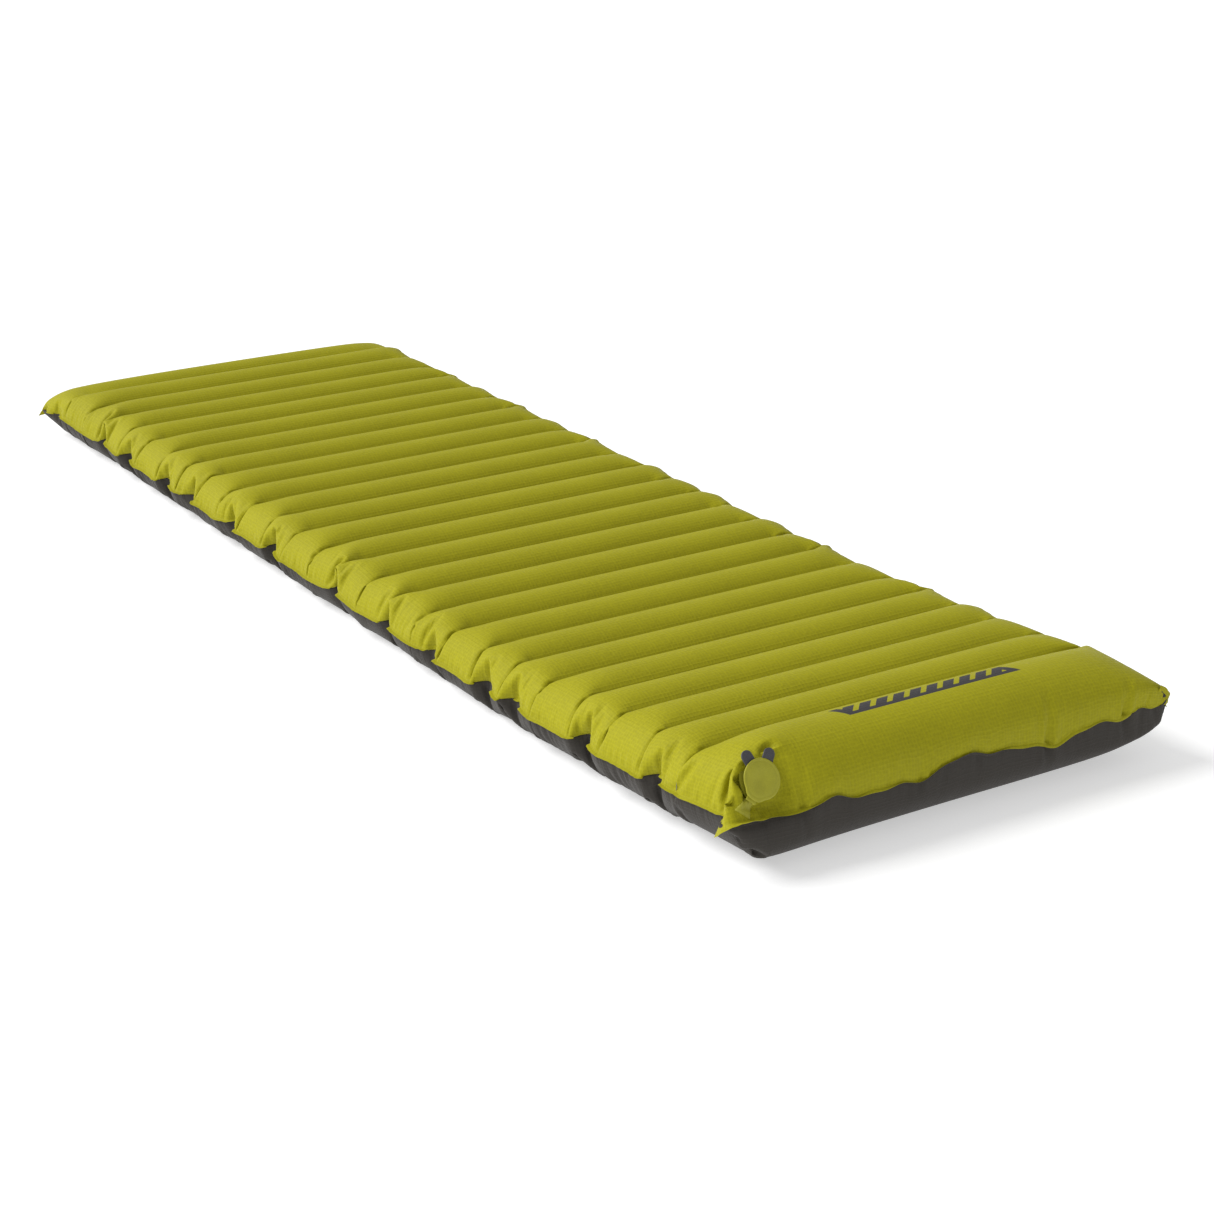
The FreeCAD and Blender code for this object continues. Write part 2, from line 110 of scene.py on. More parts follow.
class PadColours(bpy.types.PropertyGroup):
    top: bpy.props.FloatVectorProperty(
        name="Top cloth", description="Colour of the upper sheet", default=(0.335, 0.316, 0.007), **COLOURS)
    bottom: bpy.props.FloatVectorProperty(
        name="Underside cloth", description="Colour of the lower sheet", default=(0.047, 0.042, 0.036), **COLOURS)
    valve: bpy.props.FloatVectorProperty(
        name="Valve", description="Colour of the cap and its strap", default=(0.385, 0.370, 0.028), **COLOURS)
    tab: bpy.props.FloatVectorProperty(
        name="Pull tabs", description="Colour of the pull tabs", default=(0.060, 0.060, 0.066), **COLOURS)
    bar: bpy.props.FloatVectorProperty(
        name="Printed bar", description="Colour of the bar printed along the pump", default=(0.050, 0.047, 0.048),
        **COLOURS)


# ---- The valve's own frame, from the CAD parts ----
JOINTS = {joint["name"]: joint for joint in frame["joints"]}
VALVE_AXIS = -np.array(JOINTS["membrane_lift"]["axis"])
VALVE_AXIS /= np.linalg.norm(VALVE_AXIS)
VALVE_X = np.array([1.0, 0.0, 0.0])
VALVE_Y = np.cross(VALVE_AXIS, VALVE_X)
MEMBRANE_OUT = 0.85 * MM        # how far the intake film's middle stands out from the pump's face
VALVE_CENTRE = np.array(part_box("valve_membrane")).mean(0) - MEMBRANE_OUT * VALVE_AXIS
CAP_HINGE = np.array(JOINTS["cap_hinge"]["pos_m"]) - VALVE_CENTRE
NECK_ANGLE = math.atan2(CAP_HINGE @ VALVE_Y, CAP_HINGE @ VALVE_X)
CAP_REACH = math.hypot(CAP_HINGE @ VALVE_Y, CAP_HINGE @ VALVE_X)


# ---- Air and cloth: two flat sheets, joined at their hem and along the welds, blown up ----
def bowed(a, b, rise, n):
    """n + 1 points from a to b on the circular arc that stands out to its left by rise."""
    a, b = np.array(a, float), np.array(b, float)
    chord = np.linalg.norm(b - a)
    radius = (chord * chord / 4 + rise * rise) / (2 * rise)
    half = np.arcsin(chord / 2 / radius)
    turn = np.linspace(-half, half, n + 1)[:, None]
    along = (b - a) / chord
    out = np.array([-along[1], along[0]])
    return (a + b) / 2 + np.sin(turn) * radius * along + (np.cos(turn) - np.cos(half)) * radius * out


def rounded(start, end, corner, n):
    """n + 1 points of the quarter ellipse from start to end inside their corner."""
    start, end, corner = (np.array(v, float) for v in (start, end, corner))
    middle = start + end - corner
    turn = np.linspace(0, np.pi / 2, n + 1)[:, None]
    return middle + (start - middle) * np.cos(turn) + (end - middle) * np.sin(turn)


# How far in from the hem each end's crest and foot stand, and how far each arc stands out from its chord.
FAR_CREST, FAR_FOOT, PUMP_CREST, PUMP_FOOT = 0.042, 0.030, 0.058, 0.036
FAR_TOP_BOW, FAR_BASE_BOW, TUBE_BASE_BOW, PUMP_BASE_BOW = 0.006, 0.001, 0.010, 0.0005
# Cells in each run of the cross-section.
FAR_TURN, FAR_RUN, TUBE_RUN, PUMP_BACK, PUMP_FRONT = 5, 5, 8, 6, 11


def profile(s):
    """Both sheets' first line from the far hem to the near one: (y, z) points, and the flat cloth between them.

    The top goes up a quarter ellipse from the hem, over one arc for each tube and down a quarter ellipse at the
    pump; the underside is the same below, with shallower arcs.
    """
    air, strip = s.half_length - s.hem, s.strip / 2
    top = [(s.half_length, s.seam_far), (air, s.seam_far)]
    base, flat, welds = list(top), [s.hem], []

    def add(up, down, length):
        top.extend(map(tuple, up[1:]))
        base.extend(map(tuple, down[1:]))
        flat.extend([length / (len(up) - 1)] * (len(up) - 1))

    seam, crest, foot = (air, s.seam_far), (air - FAR_CREST, s.tube_crest), (air - FAR_FOOT, 0.0)
    first = s.weld_y[0] + strip
    up = np.concatenate([rounded(seam, crest, (air, s.tube_crest), FAR_TURN),
                         bowed((first, s.weld_top[0]), crest, FAR_TOP_BOW, FAR_RUN)[-2::-1]])
    down = np.concatenate([rounded(seam, foot, (air, 0.0), FAR_TURN),
                           bowed(foot, (first, s.weld_base[0]), FAR_BASE_BOW, FAR_RUN)[1:]])
    add(up, down, s.far_cloth)
    for k in range(len(s.weld_y)):
        welds.append(len(top) - 1)
        a, b = s.weld_y[k] + strip, s.weld_y[k] - strip
        add([(a, s.weld_top[k]), (b, s.weld_top[k])], [(a, s.weld_base[k]), (b, s.weld_base[k])], s.strip)
        if k < len(s.weld_y) - 1:
            near = s.weld_y[k + 1] + strip
            up = bowed((near, s.weld_top[k + 1]), (b, s.weld_top[k]), s.tube_rise, TUBE_RUN)[::-1]
            down = bowed((b, s.weld_base[k]), (near, s.weld_base[k + 1]), TUBE_BASE_BOW, TUBE_RUN)
            down[:, 1] = np.maximum(down[:, 1], 0)
            add(up, down, np.linalg.norm(np.diff(up, axis=0), axis=1).sum() * s.tube_slack)
    wall = s.weld_y[-1] - strip
    seam, crest, foot = (-air, s.seam_near), (-air + PUMP_CREST, s.pump_crest), (-air + PUMP_FOOT, 0.0)
    up = np.concatenate([rounded((wall, s.weld_top[-1]), crest, (wall, s.pump_crest), PUMP_BACK),
                         rounded(crest, seam, (-air, s.pump_crest), PUMP_FRONT)[1:]])
    down = np.concatenate([bowed((wall, s.weld_base[-1]), foot, PUMP_BASE_BOW, PUMP_BACK),
                           rounded(foot, seam, (-air, 0), PUMP_FRONT)[1:]])
    down[:, 1] = np.maximum(down[:, 1], 0)
    add(up, down, s.pump_cloth)
    edge = [seam, (-s.half_length, s.seam_near)]
    add(edge, edge, s.hem)
    return np.array(top), np.array(base), np.array(flat), np.array(welds)


def lobes(at, notches):
    """About 0 at each notch and 1 half way between two, as the square root of a sine; and each place's gap."""
    i = np.clip(np.searchsorted(notches, at) - 1, 0, len(notches) - 2)
    gap = notches[i + 1] - notches[i]
    t = np.clip((at - notches[i]) / gap, 0, 1)
    return np.sqrt(np.sin(np.pi * t) + 0.02), gap


SEAM_CLIMBS = 17                # the weld from which the seam climbs to the pump
BAND_CELLS, MIDDLE_CELLS = 11, 15
SWING_LEVEL, DROOP_LEVEL = 0.75, 0.6    # the part of a lobe that stays where the edge was
END_REACH, PUMP_LOBES = 0.05, 1.5       # how far in from an end its lobes die out, and how much stronger the pump's are


def flat_pad(s):
    """Both sheets as grids of points [sheet, along, across, xyz], near their blown-up place, and their flat spacing.

    Across, each line runs flat to a side band and then down a quarter turn to the hem. The hem swings out and down
    between notches, because a hem that isn't welded into tubes keeps its whole flat length.
    """
    top, base, dv, welds = profile(s)
    air = s.half_width - s.hem
    middle = np.linspace(s.fine_band, s.flat_half, MIDDLE_CELLS)
    into = np.concatenate([np.linspace(0, s.fine_band, BAND_CELLS), middle[1:]])
    turn = np.clip(into / s.side_cloth, 0, 1) * np.pi / 2
    x = np.where(into < s.side_cloth, air - s.side_round + s.side_round * np.cos(turn),
                 (air - s.side_round) * (s.flat_half - into) / (s.flat_half - s.side_cloth))
    x, full = np.concatenate([[s.half_width], x]), np.concatenate([[0], np.sin(turn)])
    half = np.concatenate([[s.hem], np.diff(into)])
    x, full = np.concatenate([-x, x[-2::-1]]), np.concatenate([full, full[-2::-1]])
    du = np.concatenate([half, half[::-1]])
    y = top[:, 0]
    climb = s.weld_y[SEAM_CLIMBS]
    seam = s.seam_far + (s.seam_near - s.seam_far) * np.clip((climb - y) / (climb + s.half_length), 0, 1)
    points = np.zeros((2, len(y), len(x), 3))
    for sheet, line in enumerate((top, base)):
        points[sheet, :, :, 0] = x
        points[sheet, :, :, 1] = line[:, :1]
        points[sheet, :, :, 2] = seam[:, None] + (line[:, 1:] - seam[:, None]) * full
    edge = (1 - full) ** 1.5
    for side, notches in ((-1, s.left_notches), (1, s.right_notches)):
        swing, gap = lobes(-y, np.array(notches))
        share = np.clip(gap / s.pitch, 0.5, 2.2)
        here = (edge * (np.sign(x) == side))[None, :]
        points[..., 0] += side * (s.lobe_out * share * (swing - SWING_LEVEL))[:, None] * here
        points[..., 2] -= (s.lobe_droop * share * (swing - DROOP_LEVEL))[:, None] * here
    for end, notches in ((1, s.far_notches), (-1, s.near_notches)):
        swing, gap = lobes(x, np.array(notches))
        share = np.clip(gap / s.pitch, 0.5, 2.2)
        reach = np.clip(1 - np.abs(end * s.half_length - y) / END_REACH, 0, 1)[:, None] ** 1.5
        strong = PUMP_LOBES if end < 0 else 1.0
        points[..., 1] += end * (s.lobe_out * strong * share * (swing - SWING_LEVEL))[None, :] * reach
        points[..., 2] -= (s.lobe_droop * strong * share * (swing - DROOP_LEVEL))[None, :] * reach
    slope = np.clip((s.weld_y[-1] - y) / (s.weld_y[-1] + s.half_length), 0, 1)[:, None] * (x / s.half_width)[None, :]
    by_seam = np.clip(1.3 - np.abs(points[..., 2] - s.seam_near) / END_REACH, 0, 1)
    points[..., 2] += s.near_slope * slope * by_seam
    return points, du, dv, welds


def between(grid, axis):
    """The grid with a point half way between each two: nine sixteenths of the near two less one of the next two."""
    g = np.moveaxis(grid, axis, 0)
    pad = np.concatenate([2 * g[:1] - g[1:2], g, 2 * g[-1:] - g[-2:-1]])
    mid = (9 * (pad[1:-2] + pad[2:-1]) - pad[:-3] - pad[3:]) / 16
    out = np.empty((2 * len(g) - 1,) + g.shape[1:], g.dtype)
    out[::2], out[1::2] = g, mid
    return np.moveaxis(out, 0, axis)


def finer(points):
    """The sheets with twice as many cells each way."""
    return between(between(points, 1), 2)


def halved(spacing):
    """The flat spacing of a grid with twice as many cells."""
    return np.repeat(spacing, 2) / 2


# Speed left after a step, the height that counts as resting, and the share of the steps with a guide.
SPEED_KEPT, ON_FLOOR, GUIDED = 0.95, 0.0003, 0.7


class Pad:
    """Two sheets of cloth that don't stretch, blown up a little at a time.

    Each step pushes every point along its face by the air, then walks the threads: each pair of neighbours moves
    back to its flat distance, half each, with softer diagonals and a faint pull between second neighbours that
    stiffens folds. Weld lines keep their height and place, the hem is one line of both sheets, the divider keeps
    its height and the floor stops the underside.
    """

    def __init__(self, points, du, dv, welds, s, level):
        self.p = points.astype(np.float32)
        self.du, self.dv, self.s, self.level = du.astype(np.float32), dv.astype(np.float32), s, level
        self.wide = 1 + 2 ** level      # hem lines
        self.speed = np.zeros_like(self.p)
        cells = 2 ** level
        rows = [np.arange(w * cells, (w + 1) * cells + 1) for w in welds]
        u = np.concatenate([[0], np.cumsum(du)]) - du.sum() / 2
        ends = np.repeat(s.weld_ends, cells + 1, axis=1)
        held = (u[None] >= -ends[0][:, None]) & (u[None] <= ends[1][:, None])
        self.pin = np.zeros(self.p.shape[1:3], bool)
        self.pin[np.concatenate(rows)] = held
        keep = np.zeros(self.p.shape[:3] + (2,), np.float32)
        for k, lines in enumerate(rows):
            place = s.weld_y[k] + s.strip / 2 - (lines - lines[0]) * s.strip / cells
            keep[..., 0][:, lines] = place[None, :, None]
            keep[0, ..., 1][lines], keep[1, ..., 1][lines] = s.weld_top[k], s.weld_base[k]
        self.kept = keep[:, self.pin]
        self.wall = slice(rows[-1][0], rows[-1][-1] + 1)
        self.wall_height = (self.p[0, self.wall] - self.p[1, self.wall])[..., 2].copy()
        self.patch = None
        self.threads = self.pairs()

    def pairs(self):
        """Sets of pairs that share no point: one end, other end, flat distance, pull when long and push when short."""
        du, dv, s = self.du, self.dv, self.s
        ny, nx = self.p.shape[1:3]
        hem, every, sets = self.wide, slice(None), []
        for o in (0, 1):
            along, across = dv[o::2][:, None], du[o::2][None, :]
            sets.append(((every, slice(o, nx - 1, 2)), (every, slice(o + 1, nx, 2)), across, 1.0, s.squeeze))
            sets.append(((slice(o, ny - 1, 2), every), (slice(o + 1, ny, 2), every), along, 1.0, s.squeeze))
        slant = np.sqrt(du[None] ** 2 + dv[:, None] ** 2)
        left, right = slice(0, nx - 1), slice(1, nx)
        for o in (0, 1):
            up, down = slice(o, ny - 1, 2), slice(o + 1, ny, 2)
            sets.append(((up, left), (down, right), slant[o::2], s.skew, s.skew))
            sets.append(((up, right), (down, left), slant[o::2], s.skew, s.skew))
        two = (du[1:] + du[:-1])[None, :]
        sets.append(((every, slice(0, nx - 2)), (every, slice(2, nx)), two, s.stiffness, s.stiffness))
        two = (dv[1:] + dv[:-1])[:, None]
        sets.append(((slice(0, ny - 2), every), (slice(2, ny), every), two, s.stiffness, s.stiffness))
        step = s.hem_step * 2 ** self.level
        far = np.convolve(dv, np.ones(step), "valid")[:, None]
        for cols in (slice(0, hem), slice(nx - hem, nx)):
            sets.append(((slice(0, ny - step), cols), (slice(step, ny), cols), far, s.hem_pull, s.hem_pull))
        far = np.convolve(du, np.ones(step), "valid")[None, :]
        for rows in (slice(0, hem), slice(ny - hem, ny)):
            sets.append(((rows, slice(0, nx - step)), (rows, slice(step, nx)), far, s.hem_pull, s.hem_pull))
        return [(a, b, np.asarray(d, np.float32), np.float32(k), np.float32(c)) for a, b, d, k, c in sets]

    def pull_threads(self, sheet):
        """Moves both ends of each pair by half of what it is too long or too short."""
        p = self.p[sheet]
        for one, other, flat, pull, push in self.threads:
            gap = p[other] - p[one]
            far = np.sqrt(np.einsum("...i,...i", gap, gap)) + np.float32(1e-9)
            long = far - flat
            gap *= (np.where(long > 0, pull, push) * 0.5 * long / far)[..., None]
            p[one] += gap
            p[other] -= gap

    def join(self):
        """Brings the hems together, keeps the welds, divider and patch in place, and stays above the floor."""
        p, w = self.p, self.wide
        for at in (np.s_[:, :w], np.s_[:, -w:], np.s_[:, :, :w], np.s_[:, :, -w:]):
            p[at] = p[at].mean(0, keepdims=True)
        top, base = p[0, self.wall], p[1, self.wall]
        off = 0.5 * (top[..., 2] - base[..., 2] - self.wall_height)
        top[..., 2] -= off
        base[..., 2] += off
        middle = 0.5 * (top[..., 1] + base[..., 1])
        top[..., 1], base[..., 1] = middle, middle
        p[:, self.pin, 1:] = self.kept
        if self.patch is not None:
            where, place, firm = self.patch
            p[0][where] += (place - p[0][where]) * firm
        np.maximum(p[..., 2], 0, out=p[..., 2])

    def air(self):
        """The push on each point: its area along its face, as the cross product of its row's and column's spans."""
        p = self.p
        across, along = np.gradient(p, axis=2), np.gradient(p, axis=1)
        push = np.cross(along, across)
        push[1] *= -1
        w = self.wide
        push[:, :w], push[:, -w:], push[:, :, :w], push[:, :, -w:] = 0, 0, 0, 0
        return push

    def blow(self, steps, pool, guide):
        """Steps of air and thread. The guide draws the hem back to where it started, less and less."""
        aim = self.p.copy()
        hem = np.zeros(self.p.shape[1:3], bool)
        w = self.wide
        hem[:w], hem[-w:], hem[:, :w], hem[:, -w:] = True, True, True, True
        guided = steps * GUIDED
        for n in range(steps):
            before = self.p.copy()
            self.p += self.speed * np.float32(SPEED_KEPT) + self.air() * np.float32(PRESSURE)
            resting = self.p[1, ..., 2] <= ON_FLOOR
            for _ in range(SWEEPS):
                list(pool.map(self.pull_threads, (0, 1)))
                if guide and n < guided:
                    self.p[:, hem] += (aim[:, hem] - self.p[:, hem]) * np.float32(guide * (1 - n / guided))
                self.join()
            ground = self.p[1]
            ground[resting, :2] = (ground[resting, :2] + before[1][resting, :2]) / 2
            self.speed = self.p - before


# ---- From the CAD frame to the flat cloth ----
FILM = 0.001                    # how far the cloth stands off the baffles' boxes
WELD_END, WELD_END_SPREAD = 0.262, 0.006
PAST_END, PAST_SIDE = 0.02, 0.0125      # how far past the edge the last notches are
# Notches in the hem: the left side's in pitches past the first weld, the pump's in metres across.
LEFT_NOTCHES = (-0.52, 0.37, 2.14, 3.25, 5.33, 6.51, 8.69, 10.41, 11.52, 13.09, 14.97, 16.75, 17.35, 18.41,
                19.13, 20.54, 21.30, 23.24, 24.9)
PUMP_NOTCHES = (-0.288, -0.157, -0.055, 0.07, 0.124, 0.238)
RIGHT_GAPS, FAR_GAPS = (0.075, 0.15), (0.06, 0.12)


def pad_plan(sizes):
    """Every number the cloth needs: welds and edges from the CAD boxes, and the rest from the sizes."""
    half_width, half_length = CAD_BOX[1][:2]
    walls = [np.array(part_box(name)) for name in BAFFLES + ["pump_divider"]]
    s = SimpleNamespace(
        half_width=half_width, half_length=half_length, hem=sizes.hem, strip=0.003,
        seam_far=sizes.seam_far, seam_near=sizes.seam_near, near_slope=0.017,
        tube_crest=sizes.tube_crest, pump_crest=sizes.pump_crest, tube_rise=sizes.tube_rise,
        lobe_out=sizes.lobe_out, lobe_droop=sizes.lobe_droop,
        tube_slack=0.985, far_cloth=0.097, pump_cloth=0.157,
        flat_half=half_width + 0.0095, side_cloth=0.0645, side_round=0.045, fine_band=0.080,
        squeeze=0.9, skew=0.25, stiffness=0.02, hem_step=2, hem_pull=0.15)
    s.weld_y = np.array([(w[0][1] + w[1][1]) / 2 for w in walls])
    s.weld_top = np.array([w[1][2] for w in walls]) + FILM
    s.weld_base = np.array([w[0][2] for w in walls]) - FILM
    s.pitch = (s.weld_y[0] - s.weld_y[-1]) / (len(walls) - 1)
    s.random = random = np.random.default_rng(sizes.seed)
    s.weld_ends = WELD_END + random.uniform(-WELD_END_SPREAD, WELD_END_SPREAD, (2, len(walls)))
    end, side = half_length + PAST_END, half_width + PAST_SIDE
    s.left_notches = np.concatenate([[-end], np.array(LEFT_NOTCHES) * s.pitch - s.weld_y[0], [end]])
    s.right_notches = strewn(-end, end, *RIGHT_GAPS, random)
    s.near_notches = np.array([-side, *PUMP_NOTCHES, side])
    s.far_notches = strewn(-side, side, *FAR_GAPS, random)
    return s


def strewn(start, end, least, most, random):
    """Places from start to end, each between least and most past the last."""
    steps = random.uniform(least, most, int((end - start) / least) + 1)
    at = start + np.cumsum(steps)
    return np.concatenate([[start], at[at < end - least], [end]])


PRESSURE, SWEEPS = 1.2, 3
ROUGHNESS = 0.0003              # the flat cloth starts this uneven
COARSE_STEPS, COARSE_QUICK, COARSE_GUIDE = 500, 120, 0.05
FINE_STEPS, FINE_QUICK, FINE_GUIDE = 250, 10, 0.01


def blown_up(s, quick):
    """The pad's two sheets at rest, blown up on a coarse grid and then on one twice as fine."""
    points, du, dv, welds = flat_pad(s)
    points[..., 2] += s.random.normal(0, ROUGHNESS, points.shape[1:3])
    with ThreadPoolExecutor(2) as pool:
        coarse = Pad(points, du, dv, welds, s, 0)
        coarse.patch = valve_patch(coarse.p[0])
        coarse.blow(COARSE_QUICK if quick else COARSE_STEPS, pool, COARSE_GUIDE)
        fine = Pad(finer(coarse.p), halved(du), halved(dv), welds, s, 1)
        fine.wall_height = between(between(coarse.wall_height, 0), 1).astype(np.float32)
        fine.patch = valve_patch(fine.p[0])
        fine.blow(FINE_QUICK if quick else FINE_STEPS, pool, 0.0 if quick else FINE_GUIDE)
    s.weld_lines = 4 * welds + 2    # each weld's middle line, on the grid made finer once more
    return fine.p.astype(float), halved(halved(du)), halved(halved(dv)), fine.wide


PATCH_REACH, PATCH_FADE, PATCH_FIRM, PATCH_LOWEST = 0.036, 0.014, 0.30, 0.074


def valve_patch(sheet):
    """The top sheet's points by the valve, their place on the CAD pump's face, and how firmly they are held there."""
    away = np.linalg.norm(sheet - VALVE_CENTRE, axis=-1)
    near = (away < PATCH_REACH) & (sheet[..., 2] > PATCH_LOWEST)
    firm = PATCH_FIRM * np.clip((PATCH_REACH - away[near]) / PATCH_FADE, 0, 1)[:, None]
    return near, on_pump_face(sheet[near]), firm.astype(np.float32)


def drawn_in(points, s):
    """Points past the pad's edges eased back: the overshoot runs up to a limit as a hyperbolic tangent."""
    for axis, edge, room in ((0, s.half_width, 0.009), (1, s.half_length, 0.014)):
        past = np.abs(points[..., axis]) - edge
        over = np.where(past > 0, room * np.tanh(past / room) - past, 0)
        points[..., axis] += np.sign(points[..., axis]) * over
    return points


# The waves in the pump's seam: height in metres, radians per metre and phase.
SEAM_WAVES = ((0.0050, 29.0, 1.0), (0.0034, 67.0, 2.2), (0.0016, 131.0, 0.0))
WAVES_FROM, WAVES_FULL = -0.215, 0.05   # where across the waves start, and how far on they are full
WAVES_NEAR, WAVES_DEEP, WAVES_HIGH = -0.925, 0.030, 0.025


def wavy_seam(points, height):
    """The pump's seam raised and lowered by three waves along it, away from the valve, fading above and below."""
    x, y, z = np.moveaxis(points, -1, 0)
    wave = sum(rise * np.sin(x * turn + phase) for rise, turn, phase in SEAM_WAVES)
    here = smooth((x - WAVES_FROM) / WAVES_FULL) * smooth((WAVES_NEAR - y) / WAVES_DEEP)
    points[..., 2] += wave * here * np.exp(-((z - height) / WAVES_HIGH) ** 2)
    return points


def unit(v):
    """Each vector brought to length 1."""
    return v / np.maximum(np.linalg.norm(v, axis=-1, keepdims=True), 1e-9)


PROBE_START, PROBE_LENGTH = 0.05, 0.12


def on_pump_face(points):
    """The points moved along the valve's axis onto the outside of the CAD top sheet, on its plain part by the valve."""
    tree = BVHTree.FromObject(NODES["top_sheet"], bpy.context.evaluated_depsgraph_get())
    axis = Vector(VALVE_AXIS)
    out = []
    for point in points:
        start = Vector((max(point[0], VALVE_CENTRE[0]), point[1], point[2])) + axis * PROBE_START
        hit = tree.ray_cast(start, -axis, PROBE_LENGTH)[0]
        out.append(point if hit is None else (point[0], hit[1], hit[2]))
    return np.array(out, np.float32)


# ---- Finishing the cloth ----
def faces_out(grid):
    """Unit normals of a grid of points, from the cross product of its row and column spans."""
    return unit(np.cross(np.gradient(grid, axis=0), np.gradient(grid, axis=1)))


# Each edge's hem: its least lean to the top's fall, that lean's swing, the wave's knots and the share of its width.
SIDE_HEM = (0.25, 0.25, 61, 0.5)
END_HEM = (0.15, 0.7, 23, 0.75)


def hang_hem(points, du, dv, wide, random):
    """The hem laid on from the seam all round, the sides first."""
    for grid, flat, shape in ((points, du, SIDE_HEM), (points.swapaxes(1, 2), dv, END_HEM)):
        for turn in (1, -1):
            hang_edge(grid[:, :, ::turn], flat[::turn], wide, shape, random)
    return points


def hang_edge(p, flat, wide, shape, random):
    """One edge's hem: it carries on the top sheet's fall, mixed with the way straight out, in slow waves."""
    least, swing, knots, share = shape
    fall = unit(p[0, :, wide - 1] - p[0, :, wide + 2])
    rise = unit(p[1, :, wide - 1] - p[1, :, wide + 2])
    wave = least + swing * slow_waves(p.shape[1], knots, random)
    way = unit(unit(fall + rise) + wave[:, None] * fall)
    for j, far in enumerate(np.cumsum(flat[:wide - 1][::-1])):
        p[:, :, wide - 2 - j] = p[0, :, wide - 1] + way * far * share


def slow_waves(n, knots, random):
    """n values that wander between about -1 and 1: random values at even knots, joined by cosine steps."""
    value = random.uniform(-1, 1, knots)
    at = np.linspace(0, knots - 1.001, n)
    i = at.astype(int)
    t = (1 - np.cos(np.pi * (at - i))) / 2
    return value[i] * (1 - t) + value[i + 1] * t


def fold(u, v, start, way, length, width, depth):
    """A crease from start along way: a valley with a bell-shaped section that dies out over its length."""
    along = (u - start[0]) * way[0] + (v - start[1]) * way[1]
    aside = (u - start[0]) * way[1] - (v - start[1]) * way[0]
    t = np.clip(along / length, 0, 1)
    bend = aside + 0.12 * length * t * t
    section = np.exp(-(bend / width) ** 2) - 0.45 * np.exp(-((np.abs(bend) - 2.1 * width) / width) ** 2)
    return -depth * section * (1 - t) ** 1.5 * np.clip(along / 0.004 + 1, 0, 1)


# Rows of small folds. Each range is least and most: length, width, depth and gap to the next fold.
FAR_FOLDS = ((0.018, 0.036), (0.0022, 0.0036), (0.0004, 0.0013), (0.010, 0.026))
PUMP_FOLDS = ((0.028, 0.062), (0.0022, 0.0036), (0.0004, 0.0013), (0.010, 0.026))
SIDE_FOLDS = ((0.012, 0.034), (0.0020, 0.0030), (0.0003, 0.0009), (0.009, 0.024))
END_LEAN, SIDE_LEAN = 0.22, 0.35
# The pump's long folds: place across, length and depth.
LONG_FOLDS = ((-0.214, 0.060, 0.0045), (0.124, 0.064, 0.0050), (0.238, 0.056, 0.0050),
              (-0.06, 0.040, 0.0022), (0.02, 0.036, 0.0020))


def creases(u, v, s, sheet):
    """How far each point of the flat cloth moves out or in for the small creases.

    Short folds start at the seam all round and run inward, longer and deeper at the pump. Two more run out of
    each weld's end, past a small pucker.
    """
    move = np.zeros((len(v), len(u)))
    grid_u, grid_v = np.broadcast_arrays(u[None, :], v[:, None])
    random = s.random

    def add(start, way, length, width, depth):
        way = np.array(way) / np.hypot(*way)
        reach = length + 4 * width
        rows = np.flatnonzero(np.abs(v - start[1]) < reach)
        cols = np.flatnonzero(np.abs(u - start[0]) < reach)
        if len(rows) and len(cols):
            at = np.ix_(rows, cols)
            move[at] += fold(grid_u[at], grid_v[at], start, way, length, width, depth)

    def add_row(first, last, place, way, lean, ranges):
        long, width, depth, gap = ranges
        while first < last:
            length = random.uniform(*long)
            add(place(first), way(random.uniform(-lean, lean)), length, random.uniform(*width), random.uniform(*depth))
            first += random.uniform(*gap)

    def pucker(side, along, at, size):
        return np.exp(-((grid_u - side * along) ** 2 + (grid_v - at) ** 2) / size ** 2)

    edge_u, first, last = u[-1] - s.hem, v[0] + s.hem, v[-1] - s.hem
    for end, inward, ranges in ((first, 1, FAR_FOLDS), (last, -1, PUMP_FOLDS)):
        add_row(0.012 - edge_u, edge_u, lambda at: (at, end), lambda lean: (lean, inward), END_LEAN, ranges)
    for at, long, deep in LONG_FOLDS:
        add((at, last), (0.10, -1), long * (1 if sheet == 0 else 0.75), 0.0048, deep)
        add((at - 0.011, last), (-0.12, -1), long * 0.6, 0.0034, deep * 0.4)
    for side in (-1, 1):
        add_row(first + 0.01, last, lambda at: (side * edge_u, at), lambda lean: (-side, lean), SIDE_LEAN, SIDE_FOLDS)
    if sheet == 0:
        for k, at in enumerate(s.weld_v):
            for side, stop in ((-1, s.weld_ends[0, k]), (1, s.weld_ends[1, k])):
                dent, rim = pucker(side, stop + 0.006, at, 0.004), pucker(side, stop + 0.013, at, 0.0035)
                move += -0.0014 * dent + 0.0010 * rim
                for lean in (-1, 1):
                    way, length = (side, lean * random.uniform(0.35, 0.9)), random.uniform(0.010, 0.022)
                    add((side * (stop + 0.003), at), way, length, 0.0024, random.uniform(0.0006, 0.0014))
    return move


